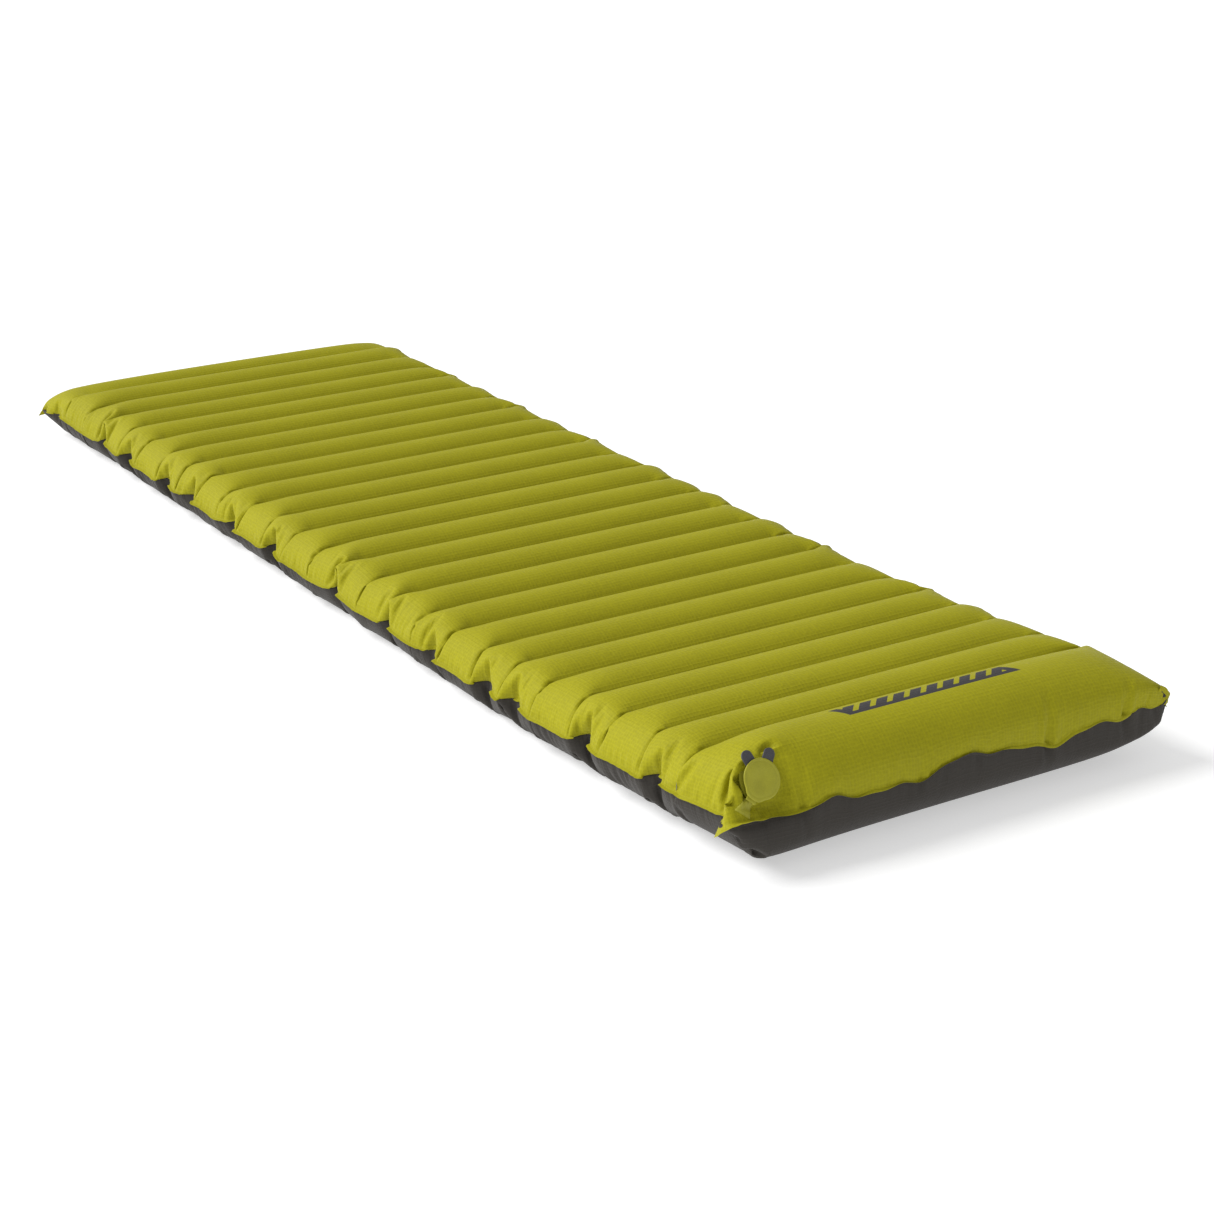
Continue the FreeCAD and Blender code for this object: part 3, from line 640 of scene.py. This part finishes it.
def spread_mesh(name, points, u, v, outward, drop=None):
    """A mesh from a grid of points, one face to a cell, with the flat cloth's place in metres as its UV map."""
    rows, cols = points.shape[:2]
    index = np.arange(rows * cols).reshape(rows, cols)
    quads = np.stack([index[:-1, :-1], index[1:, :-1], index[1:, 1:], index[:-1, 1:]], -1).reshape(-1, 4)
    if drop is not None:
        quads = quads[~drop.reshape(-1)]
    if not outward:
        quads = quads[:, ::-1]
    mesh = bpy.data.meshes.new(name)
    mesh.vertices.add(rows * cols)
    mesh.vertices.foreach_set("co", points.astype(np.float32).reshape(-1))
    mesh.loops.add(quads.size)
    mesh.loops.foreach_set("vertex_index", quads.reshape(-1).astype(np.int32))
    mesh.polygons.add(len(quads))
    mesh.polygons.foreach_set("loop_start", np.arange(0, quads.size, 4, dtype=np.int32))
    mesh.update(calc_edges=True)
    mesh.polygons.foreach_set("use_smooth", np.ones(len(quads), bool))
    flat = np.stack(np.broadcast_arrays(u[None, :], v[:, None]), -1).reshape(-1, 2)
    mesh.uv_layers.new(name="UVMap").data.foreach_set("uv", flat[quads.reshape(-1)].astype(np.float32).reshape(-1))
    mesh.validate()
    return put(name, mesh)


def grid_of(piece, rows):
    """The points of a piece made by spread_mesh, as rows and columns."""
    points = np.zeros(len(piece.data.vertices) * 3, np.float32)
    piece.data.vertices.foreach_get("co", points)
    return points.reshape(rows, -1, 3).astype(float)


def put(name, mesh):
    """A new piece of this mesh, in the scene."""
    piece = bpy.data.objects.new(name, mesh)
    bpy.context.scene.collection.objects.link(piece)
    return piece


def dress(piece, material, body="pad"):
    """Gives a new piece its material and the body that it rides on."""
    piece.data.materials.clear()
    piece.data.materials.append(material)
    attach(piece, body)


# ---- Materials ----
class Nodes:
    """A short way to write a material's nodes."""

    def __init__(self, name, colour, roughness, **sockets):
        self.material = bpy.data.materials.new(name)
        self.material.use_nodes = True
        self.tree = self.material.node_tree
        self.tree.nodes.clear()
        self.out = self.tree.nodes.new("ShaderNodeOutputMaterial")
        self.shader = self.tree.nodes.new("ShaderNodeBsdfPrincipled")
        self.link(self.shader.outputs[0], self.out.inputs[0])
        self.shader.inputs["Base Color"].default_value = (*colour, 1)
        self.shader.inputs["Roughness"].default_value = roughness
        for key, value in sockets.items():
            self.shader.inputs[key.replace("_", " ")].default_value = value

    def link(self, a, b):
        self.tree.links.new(a, b)

    def node(self, kind, inputs=(), **settings):
        """A node with its settings, and each input linked to a socket or set to a value."""
        made = self.tree.nodes.new("ShaderNode" + kind)
        for key, value in settings.items():
            setattr(made, key, value)
        for key, value in dict(inputs).items():
            if isinstance(value, bpy.types.NodeSocket):
                self.link(value, made.inputs[key])
            else:
                made.inputs[key].default_value = value
        return made

    def math(self, kind, *values):
        """One Math node's result."""
        return self.node("Math", dict(enumerate(values)), operation=kind).outputs[0]

    def ramp(self, value, low, high, start=0.0, end=1.0):
        """The value moved from low..high to start..end, and kept there."""
        return self.node("MapRange", {0: value, 1: low, 2: high, 3: start, 4: end}, clamp=True).outputs[0]

    def mix(self, share, a, b):
        """Colour a at share 0, and b at share 1."""
        made = self.node("Mix", {0: share}, data_type="RGBA")
        for socket, value in ((made.inputs[6], a), (made.inputs[7], b)):
            if isinstance(value, bpy.types.NodeSocket):
                self.link(value, socket)
            else:
                socket.default_value = (*value, 1)
        return made.outputs[2]

    def bump(self, height, distance, strength, under=None):
        """The surface's normal with a bump, on top of another bump if there is one."""
        inputs = {"Height": height, "Distance": distance, "Strength": strength}
        if under is not None:
            inputs["Normal"] = under
        return self.node("Bump", inputs).outputs[0]

    def base(self, colour):
        self.link(colour, self.shader.inputs["Base Color"])

    def normal(self, normal):
        self.link(normal, self.shader.inputs["Normal"])


def shade(colour, factor):
    """The colour made darker or lighter by factor."""
    return tuple(min(1.0, c * factor) for c in colour)


def thread_line(n, value):
    """1 on a thread at each pitch and 0 between: how near the fraction of value over pitch is to a half."""
    part = n.math("FRACT", n.math("DIVIDE", value, THREAD_PITCH))
    return n.ramp(n.math("ABSOLUTE", n.math("SUBTRACT", part, 0.5)), THREAD_WIDTH / THREAD_PITCH, 0.0)


CLOTH_ROUGHNESS, THREAD_PITCH, THREAD_WIDTH = 0.6, 0.0052, 0.0007


def cloth_material(name, colour, waffle_highlight, bar=None):
    """Coated ripstop cloth: thick threads in a small check, a fine weave between them and a faint embossed honeycomb
    whose raised cell edges are painted lighter, a painted highlight.
    """
    n = Nodes(name, colour, CLOTH_ROUGHNESS, Specular_IOR_Level=0.14, Sheen_Weight=0.04, Sheen_Roughness=0.4)
    flat = n.node("UVMap", uv_map="UVMap").outputs[0]
    parts = n.node("SeparateXYZ", {0: flat})
    grid = n.math("MAXIMUM", *(thread_line(n, parts.outputs[way]) for way in (0, 1)))
    weave = n.node("TexNoise", {"Vector": flat, "Scale": 1150.0, "Detail": 2.0, "Roughness": 0.6}).outputs[0]
    cells = n.node("TexVoronoi", {"Vector": flat, "Scale": 230.0, "Randomness": 0.35}).outputs["Distance"]
    drift = n.node("TexNoise", {"Vector": flat, "Scale": 9.0, "Detail": 3.0}).outputs[0]
    tone = n.mix(n.ramp(drift, 0.3, 0.7), shade(colour, 0.95), shade(colour, 1.05))
    # Painted highlight: the raised edges of the embossed cells are painted lighter, standing in for the light they
    # catch.
    tone = n.mix(n.ramp(cells, 0.25, 0.75, 0.0, waffle_highlight), tone, shade(colour, 1.45))
    tone = n.mix(n.ramp(weave, 0.35, 0.65, 0.0, 0.16), tone, shade(colour, 0.62))
    tone = n.mix(n.math("MULTIPLY", grid, 0.05), tone, shade(colour, 1.3))
    if bar is not None:
        tone = printed_bar(n, tone, *bar)
    n.base(tone)
    deep = n.bump(weave, 0.00022, 0.5)
    deep = n.bump(grid, 0.00025, 0.6, deep)
    n.normal(n.bump(cells, 0.0006, 0.5, deep))
    return n.material


# The printed bar, in metres: its two edges along the pad, half its length, its middle and its slanted stripes.
BAR_EDGES, BAR_HALF, BAR_MIDDLE, BAR_LEAN, BAR_BELOW_CREST = (-0.9200, -0.8965), 0.121, -0.003, 0.55, 0.03
STRIPE_PITCH, STRIPE_LEAN, STRIPE_HALF, STRIPE_FROM_EDGE, STRIPE_FROM_END = 0.0235, -0.9, 0.17, 0.006, 0.012


def printed_bar(n, tone, ink, above):
    """A plain bar printed along the back of the pump, with slanted ends and a row of slanted stripes left unprinted."""
    x, y, z = n.node("SeparateXYZ", {0: n.node("TexCoord").outputs["Object"]}).outputs
    low, high = BAR_EDGES
    lean = n.math("MULTIPLY", n.math("SUBTRACT", y, (low + high) / 2), BAR_LEAN)
    off = n.math("ABSOLUTE", n.math("ADD", n.math("ADD", x, lean), -BAR_MIDDLE))
    within = n.math("MULTIPLY", n.math("GREATER_THAN", y, low), n.math("LESS_THAN", y, high))
    inside = n.math("MULTIPLY", n.math("LESS_THAN", off, BAR_HALF), within)
    inside = n.math("MULTIPLY", inside, n.math("GREATER_THAN", z, above))
    part = n.math("FRACT", n.math("DIVIDE", n.math("ADD", x, n.math("MULTIPLY", y, STRIPE_LEAN)), STRIPE_PITCH))
    stripe = n.math("LESS_THAN", n.math("ABSOLUTE", n.math("SUBTRACT", part, 0.5)), STRIPE_HALF)
    rows = n.math("MULTIPLY", n.math("GREATER_THAN", y, low + STRIPE_FROM_EDGE),
                  n.math("LESS_THAN", off, BAR_HALF - STRIPE_FROM_END))
    left_out = n.math("MULTIPLY", stripe, rows)
    return n.mix(n.math("MULTIPLY", inside, n.math("SUBTRACT", 1.0, left_out)), tone, ink)


def moulded_material(name, colour, roughness=0.45, grain=0.0, scale=900.0):
    """Soft moulded plastic: a faint drift of tone and a fine grain in its skin."""
    n = Nodes(name, colour, roughness, Specular_IOR_Level=0.35)
    place = n.node("TexCoord").outputs["Object"]
    drift = n.node("TexNoise", {"Vector": place, "Scale": 60.0, "Detail": 3.0}).outputs[0]
    fine = n.node("TexNoise", {"Vector": place, "Scale": scale, "Detail": 2.0}).outputs[0]
    tone = n.mix(n.ramp(drift, 0.35, 0.65), shade(colour, 0.93), shade(colour, 1.06))
    tone = n.mix(n.ramp(fine, 0.4, 0.6, 0.0, grain), tone, shade(colour, 2.4))
    n.base(tone)
    n.normal(n.bump(fine, 0.00012 + 0.0004 * grain, 0.6))
    return n.material


def foam_material(name, colour):
    """Open-cell foam: small round pits of uneven size, painted darker towards their middles as painted shade."""
    n = Nodes(name, colour, 0.9, Specular_IOR_Level=0.1)
    place = n.node("TexCoord").outputs["Object"]
    cells = n.node("TexVoronoi", {"Vector": place, "Scale": 420.0}).outputs["Distance"]
    # Painted shade: each pit's colour darkens towards its middle, where the bump is deepest.
    n.base(n.mix(n.ramp(cells, 0.1, 0.6), shade(colour, 0.7), shade(colour, 1.1)))
    n.normal(n.bump(cells, 0.0012, 0.7))
    return n.material


def film_material(name, colour):
    """Thin coated film: slow streaks along the tube and a fine weave."""
    n = Nodes(name, colour, 0.5, Specular_IOR_Level=0.4)
    place = n.node("TexCoord").outputs["Object"]
    longer = n.node("Mapping", {"Vector": place, "Scale": (8.0, 60.0, 60.0)}).outputs[0]
    streak = n.node("TexNoise", {"Vector": longer, "Scale": 3.0, "Detail": 3.0}).outputs[0]
    fine = n.node("TexNoise", {"Vector": place, "Scale": 900.0}).outputs[0]
    n.base(n.mix(n.ramp(streak, 0.35, 0.65), shade(colour, 0.9), shade(colour, 1.08)))
    n.normal(n.bump(fine, 0.0002, 0.4))
    return n.material


def floor_material(name):
    """Painted board: almost white, with a faint mottle."""
    n = Nodes(name, (0.72, 0.72, 0.72), 0.85, Specular_IOR_Level=0.05,
              Emission_Color=(1, 1, 1, 1), Emission_Strength=0.48)
    place = n.node("TexCoord").outputs["Object"]
    drift = n.node("TexNoise", {"Vector": place, "Scale": 1.5, "Detail": 2.0}).outputs[0]
    n.base(n.mix(n.ramp(drift, 0.3, 0.7), (0.715, 0.715, 0.715), (0.725, 0.725, 0.725)))
    return n.material


# ---- The valve ----
def from_valve(x, y, z):
    """Points given in the valve's own frame, in metres: x across the pad, y up the slope, z out of it."""
    x, y, z = np.broadcast_arrays(x, y, z)
    return VALVE_CENTRE + x[..., None] * VALVE_X + y[..., None] * VALVE_Y + z[..., None] * VALVE_AXIS


def smooth(t):
    """An eased step from 0 to 1: three t squared less two t cubed."""
    t = np.clip(t, 0, 1)
    return t * t * (3 - 2 * t)


def ring_mesh(name, rings):
    """A closed skin from rings of points, [ring, around, xyz]: the first and last rings end in one point each."""
    count, around = rings.shape[:2]
    points = np.concatenate([rings[0].mean(0)[None], rings[1:-1].reshape(-1, 3), rings[-1].mean(0)[None]])
    index = 1 + np.arange((count - 2) * around).reshape(count - 2, around)
    after = np.roll(index, -1, axis=1)
    quads = np.stack([index[:-1], after[:-1], after[1:], index[1:]], -1).reshape(-1, 4)
    last = len(points) - 1
    first_cap = np.stack([np.zeros(around, int), after[0], index[0]], -1)
    last_cap = np.stack([np.full(around, last), index[-1], after[-1]], -1)
    faces = quads.tolist() + first_cap.tolist() + last_cap.tolist()
    mesh = bpy.data.meshes.new(name)
    mesh.from_pydata(points.tolist(), [], faces)
    mesh.polygons.foreach_set("use_smooth", np.ones(len(faces), bool))
    mesh.update()
    return put(name, mesh)


def closed(name, rings):
    """A closed skin from rings, each end drawn together at the middle of its ring."""
    middles = [np.broadcast_to(ring.mean(1, keepdims=True), ring.shape) for ring in (rings[:1], rings[-1:])]
    return ring_mesh(name, np.concatenate([middles[0], rings, middles[1]]))


def keyhole(angle, radius, reach, half_neck):
    """The cap's outline: a circle, and an eased swell to reach within the neck's angle."""
    off = np.abs((angle - NECK_ANGLE + np.pi) % (2 * np.pi) - np.pi)
    inner = np.arcsin(half_neck / reach)
    return radius + (reach - radius) * smooth((inner * 2.0 - off) / (inner * 1.15))


# The cap's section in millimetres, out from the axis and up: its stopper, its underside, its rim and its dished top.
CAP_SECTION = ((0, 1.45), (3.0, 1.42), (4.9, 1.45), (5.45, 1.8), (5.75, 3.3), (6.4, 3.62), (12.0, 3.62), (20.9, 3.62),
               (21.9, 3.75), (22.35, 4.15), (22.5, 4.6), (22.3, 5.05), (21.7, 5.38), (20.9, 5.5), (20.2, 5.46),
               (19.6, 5.3), (19.0, 5.24), (18.4, 5.32), (17.6, 5.46), (15.5, 5.56), (13.0, 5.52), (11.0, 5.36),
               (9.0, 5.08), (7.0, 4.82), (4.5, 4.62), (2.0, 4.55), (0, 4.54))
CAP_RADIUS, CAP_NECK, CAP_CORE = 22.5 * MM, 8.2 * MM, 12 * MM


def cap_skin(name):
    """The cap: a dished disc turned about the valve's axis, drawn out to a neck, with its stopper below."""
    line = np.array(CAP_SECTION) * MM
    angle = np.linspace(0, 2 * np.pi, 97)[:-1]
    edge = keyhole(angle, CAP_RADIUS, CAP_REACH, CAP_NECK)
    r, z = line[:, 0][:, None], line[:, 1][:, None]
    past = np.clip((r - CAP_CORE) / (10.5 * MM), 0, 1)
    far = r + past * (edge[None] - CAP_RADIUS)
    return ring_mesh(name, from_valve(far * np.cos(angle), far * np.sin(angle), z + 0 * angle))


STRAP_START, STRAP_END = 24.2 * MM, 43.5 * MM


def strap_skin(name, cloth):
    """The strap: a rounded flat section carried from under the cap down to the hem, widening, laid on the cloth."""
    t = np.linspace(0, 1, 25)
    reach = STRAP_START + (STRAP_END - STRAP_START) * t
    half = (8.0 - 0.6 * smooth(t / 0.35) + 2.6 * smooth((t - 0.35) / 0.65) ** 1.5) * MM
    thick = (3.2 - 2.1 * smooth(t / 0.6)) * MM
    across = np.linspace(-1, 1, 17)
    way = np.array([np.cos(NECK_ANGLE), np.sin(NECK_ANGLE)])
    aside = np.array([-way[1], way[0]])
    x = reach[:, None] * way[0] + half[:, None] * across * aside[0]
    y = reach[:, None] * way[1] + half[:, None] * across * aside[1]
    tree = BVHTree.FromObject(cloth, bpy.context.evaluated_depsgraph_get())
    axis = Vector(VALVE_AXIS)
    lay = np.full(x.shape, np.nan)
    for i, j in np.ndindex(x.shape):
        hit = tree.ray_cast(Vector(from_valve(x[i, j], y[i, j], 30 * MM)), -axis, 70 * MM)[0]
        if hit is not None:
            lay[i, j] = (np.array(hit) - VALVE_CENTRE) @ VALVE_AXIS
    for i in range(len(t)):
        known = np.isfinite(lay[i])
        lay[i] = np.interp(across, across[known], lay[i][known]) if known.any() else lay[i - 1]
    for _ in range(3):
        lay[1:-1] = (lay[:-2] + 2 * lay[1:-1] + lay[2:]) / 4
        lay[:, 1:-1] = (lay[:, :-2] + 2 * lay[:, 1:-1] + lay[:, 2:]) / 4
    ends = np.clip(np.minimum(t, 1 - t) * 12, 0, 1)[:, None] ** 0.5
    top = lay + 0.2 * MM + thick[:, None] * (1 - np.abs(across) ** 6)[None] * ends
    low = lay - 0.4 * MM
    rings = np.concatenate([from_valve(x, y, top), from_valve(x, y, low)[:, ::-1]], axis=1)
    return closed(name, rings)


# ---- Operators ----
BLOWN = SimpleNamespace()       # what later steps need to know of the cloth's grid


def made_sizes(context):
    """The sizes and the colours that the user set."""
    return context.scene.pad_sizes, context.scene.pad_colours


HOLE_RADIUS, HOLE_DEPTH, HALF_CLOTH = 0.0136, 0.02, 0.0004


class PAD_OT_cloth(bpy.types.Operator):
    """Blow up the two sheets and lay their hem"""
    bl_idname = "pad.cloth"
    bl_label = "Blow up the cloth"

    def execute(self, context):
        sizes, colours = made_sizes(context)
        s = pad_plan(sizes)
        points, du, dv, wide = blown_up(s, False)
        points, wide = finer(points), 2 * wide - 1
        u = np.concatenate([[0], np.cumsum(du)]) - du.sum() / 2
        v = np.concatenate([[0], np.cumsum(dv)]) - dv.sum() / 2
        s.weld_v = v[s.weld_lines]
        BLOWN.rows, BLOWN.weld_lines = len(v), s.weld_lines
        points = wavy_seam(hang_hem(points, du, dv, wide, s.random), s.seam_near)
        points = drawn_in(points, s)
        for sheet in (0, 1):
            move = creases(u, v, s, sheet)
            move[:wide], move[-wide:], move[:, :wide], move[:, -wide:] = 0, 0, 0, 0
            points[sheet] += faces_out(points[sheet]) * (move if sheet == 0 else -move)[..., None]
        lift = np.ones(points.shape[1:3])
        lift[:1], lift[-1:], lift[:, :1], lift[:, -1:] = 0, 0, 0, 0
        lift[wide:-wide, wide:-wide] = 0
        up = faces_out(points[0]) * lift[..., None] * HALF_CLOTH
        points[0] += up
        points[1] -= up
        points[..., 2] = np.maximum(points[..., 2], 0.0)
        away = points[0] - VALVE_CENTRE
        high = away @ VALVE_AXIS
        near = np.linalg.norm(away - high[..., None] * VALVE_AXIS, axis=-1)
        cell = (near[:-1, :-1] + near[1:, :-1] + near[1:, 1:] + near[:-1, 1:]) / 4
        hole = (cell < HOLE_RADIUS) & (np.abs(high[:-1, :-1]) < HOLE_DEPTH)
        bar = tuple(colours.bar), sizes.pump_crest - BAR_BELOW_CREST
        top = spread_mesh("pad_top", points[0], u, v, True, hole)
        bottom = spread_mesh("pad_underside", points[1], u, v, False)
        # Each sheet's last number sets how strong the painted highlight on its embossed cells is.
        dress(top, cloth_material("top_cloth", tuple(colours.top), 0.45, bar))
        dress(bottom, cloth_material("underside_cloth", tuple(colours.bottom), 0.10))
        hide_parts("top_sheet")
        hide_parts("bottom_sheet")
        return {"FINISHED"}


def pump_wall_skin(name, top, bottom, line):
    """The wall between the pump and the tubes: straight lines from the top's last weld down to the underside's."""
    cols = slice(6, top.shape[1] - 6)
    share = np.linspace(0.012, 0.988, 13)[:, None, None]
    sheet = top[line, cols] * (1 - share) + bottom[line, cols] * share
    at = np.arange(sheet.shape[1]) * 0.004
    return spread_mesh(name, sheet, at, np.linspace(0, 0.08, 13), True)


FOAM_LEFT, FOAM_RIGHT, FOAM_SHARE = -0.212, 0.262, 0.84


def pump_foam_skin(name, top, bottom, line):
    """The foam in the pump: the pump's own cross-section at each place across, shrunk towards its middle."""
    first, across = line + 4, top[-80, :, 0]
    cols = np.flatnonzero((across > FOAM_LEFT) & (across < FOAM_RIGHT))[::4]
    ring = np.concatenate([top[first:-5:3], bottom[-5:first:-3]])[:, cols]
    middle = ring.mean(0, keepdims=True)
    ring = (middle + (ring - middle) * FOAM_SHARE).transpose(1, 0, 2)
    ring[..., 0] = ring[..., 0].mean(1, keepdims=True)
    return closed(name, ring)


class PAD_OT_inside(bpy.types.Operator):
    """Finish the films, the foam and the check valve inside the pad"""
    bl_idname = "pad.inside"
    bl_label = "Finish the inside"

    def execute(self, context):
        film = film_material("baffle_film", (0.42, 0.42, 0.40))
        foam = foam_material("pump_foam", (0.62, 0.60, 0.52))
        clear = moulded_material("check_valve_plastic", (0.55, 0.55, 0.53), 0.35)
        for name in BAFFLES:
            paint(name, film)
        top, bottom = (grid_of(bpy.data.objects[name], BLOWN.rows) for name in ("pad_top", "pad_underside"))
        wall = pump_wall_skin("pump_wall", top, bottom, BLOWN.weld_lines[-1])
        dress(wall, film)
        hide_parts("pump_divider")
        core = pump_foam_skin("pump_foam", top, bottom, BLOWN.weld_lines[-1])
        dress(core, foam)
        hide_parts("pump_foam_core")
        paint("check_valve_body", clear)
        paint("check_valve_flap", clear)
        return {"FINISHED"}


class PAD_OT_valve(bpy.types.Operator):
    """Fit the cap and its strap, and finish the parts below them"""
    bl_idname = "pad.valve"
    bl_label = "Fit the valve"

    def execute(self, context):
        colours = made_sizes(context)[1]
        green = moulded_material("valve_skin", tuple(colours.valve), 0.5, 0.05)
        cap = cap_skin("valve_cap_dished")
        dress(cap, green, "cap")
        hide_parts("valve_cap")
        strap = strap_skin("valve_strap", bpy.data.objects["pad_top"])
        dress(strap, green)
        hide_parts("strap_anchor")
        paint("valve_plug", green)
        paint("valve_base", moulded_material("valve_collar", shade(tuple(colours.valve), 0.8), 0.45))
        paint("valve_membrane", moulded_material("membrane_rubber", (0.08, 0.08, 0.08), 0.4))
        grip = moulded_material("tab_grip", tuple(colours.tab), 0.7, 0.35, 1500.0)
        paint("plug_tab", grip)
        paint("cap_tab", grip)
        return {"FINISHED"}


def paint(name, material):
    """Gives a CAD node its material, and leaves its mesh alone."""
    node = NODES[name]
    if not node.material_slots:
        node.data.materials.append(material)
    for slot in node.material_slots:
        slot.material = material


FLOOR_HALF, FLOOR_DROP, WORLD_LIGHT = 12, 0.0003, 0.44
KEY_WAY, KEY_POWER, KEY_SPREAD = (-0.60, 0.46, 0.65), 2.95, 34          # the spread is in degrees
LENS, CAMERA_PLACE, CAMERA_DOWN, CAMERA_TURN = 74.2, (-1.676, -2.862, 1.196), 20.77, -32.71


class PAD_OT_stage(bpy.types.Operator):
    """Lay the floor, hang the light and set the camera"""
    bl_idname = "pad.stage"
    bl_label = "Set the stage"

    def execute(self, context):
        scene = context.scene
        side = np.linspace(-FLOOR_HALF, FLOOR_HALF, 13)
        grid = np.stack(np.broadcast_arrays(side[None, :], -side[:, None], -FLOOR_DROP), -1)
        floor = spread_mesh("studio_floor", grid, side, side, True)
        floor.data.materials.append(floor_material("floor_board"))
        world = bpy.data.worlds.new("studio")
        world.use_nodes = True
        ground = world.node_tree.nodes["Background"]
        ground.inputs[0].default_value = (1, 1, 1, 1)
        ground.inputs[1].default_value = WORLD_LIGHT
        scene.world = world
        lamp = bpy.data.lights.new("key", "SUN")
        lamp.energy = KEY_POWER
        lamp.angle = math.radians(KEY_SPREAD)
        light = bpy.data.objects.new("key", lamp)
        light.location = Vector(KEY_WAY) * 4
        light.rotation_euler = Vector(KEY_WAY).to_track_quat("Z", "Y").to_euler()
        scene.collection.objects.link(light)
        lens = bpy.data.cameras.new("view")
        lens.lens = LENS
        lens.sensor_width = 36
        lens.clip_end = 60
        camera = bpy.data.objects.new("view", lens)
        camera.location = CAMERA_PLACE
        camera.rotation_euler = (math.radians(90 - CAMERA_DOWN), 0, math.radians(CAMERA_TURN))
        scene.collection.objects.link(camera)
        scene.camera = camera
        scene.view_settings.view_transform = "Standard"
        return {"FINISHED"}


class PAD_PT_panel(bpy.types.Panel):
    """Lists the pad's sizes, colours and steps"""
    bl_idname = "PAD_PT_panel"
    bl_label = "Sleeping Pad"
    bl_space_type = "VIEW_3D"
    bl_region_type = "UI"
    bl_category = "Sleeping Pad"

    def draw(self, context):
        for group in made_sizes(context):
            box = self.layout.box()
            for key in group.bl_rna.properties.keys():
                if key not in ("rna_type", "name"):
                    box.prop(group, key)
        for step in STEPS:
            self.layout.operator(step.bl_idname)


STEPS = (PAD_OT_stage, PAD_OT_cloth, PAD_OT_inside, PAD_OT_valve)
CLASSES = (PadSizes, PadColours) + STEPS + (PAD_PT_panel,)


def register():
    for cls in CLASSES:
        bpy.utils.register_class(cls)
    bpy.types.Scene.pad_sizes = bpy.props.PointerProperty(type=PadSizes)
    bpy.types.Scene.pad_colours = bpy.props.PointerProperty(type=PadColours)


def unregister():
    del bpy.types.Scene.pad_colours
    del bpy.types.Scene.pad_sizes
    for cls in reversed(CLASSES):
        bpy.utils.unregister_class(cls)


def main():
    register()
    bpy.ops.pad.stage()
    bpy.ops.pad.cloth()
    bpy.ops.pad.inside()
    bpy.ops.pad.valve()


if __name__ == "__main__":
    main()
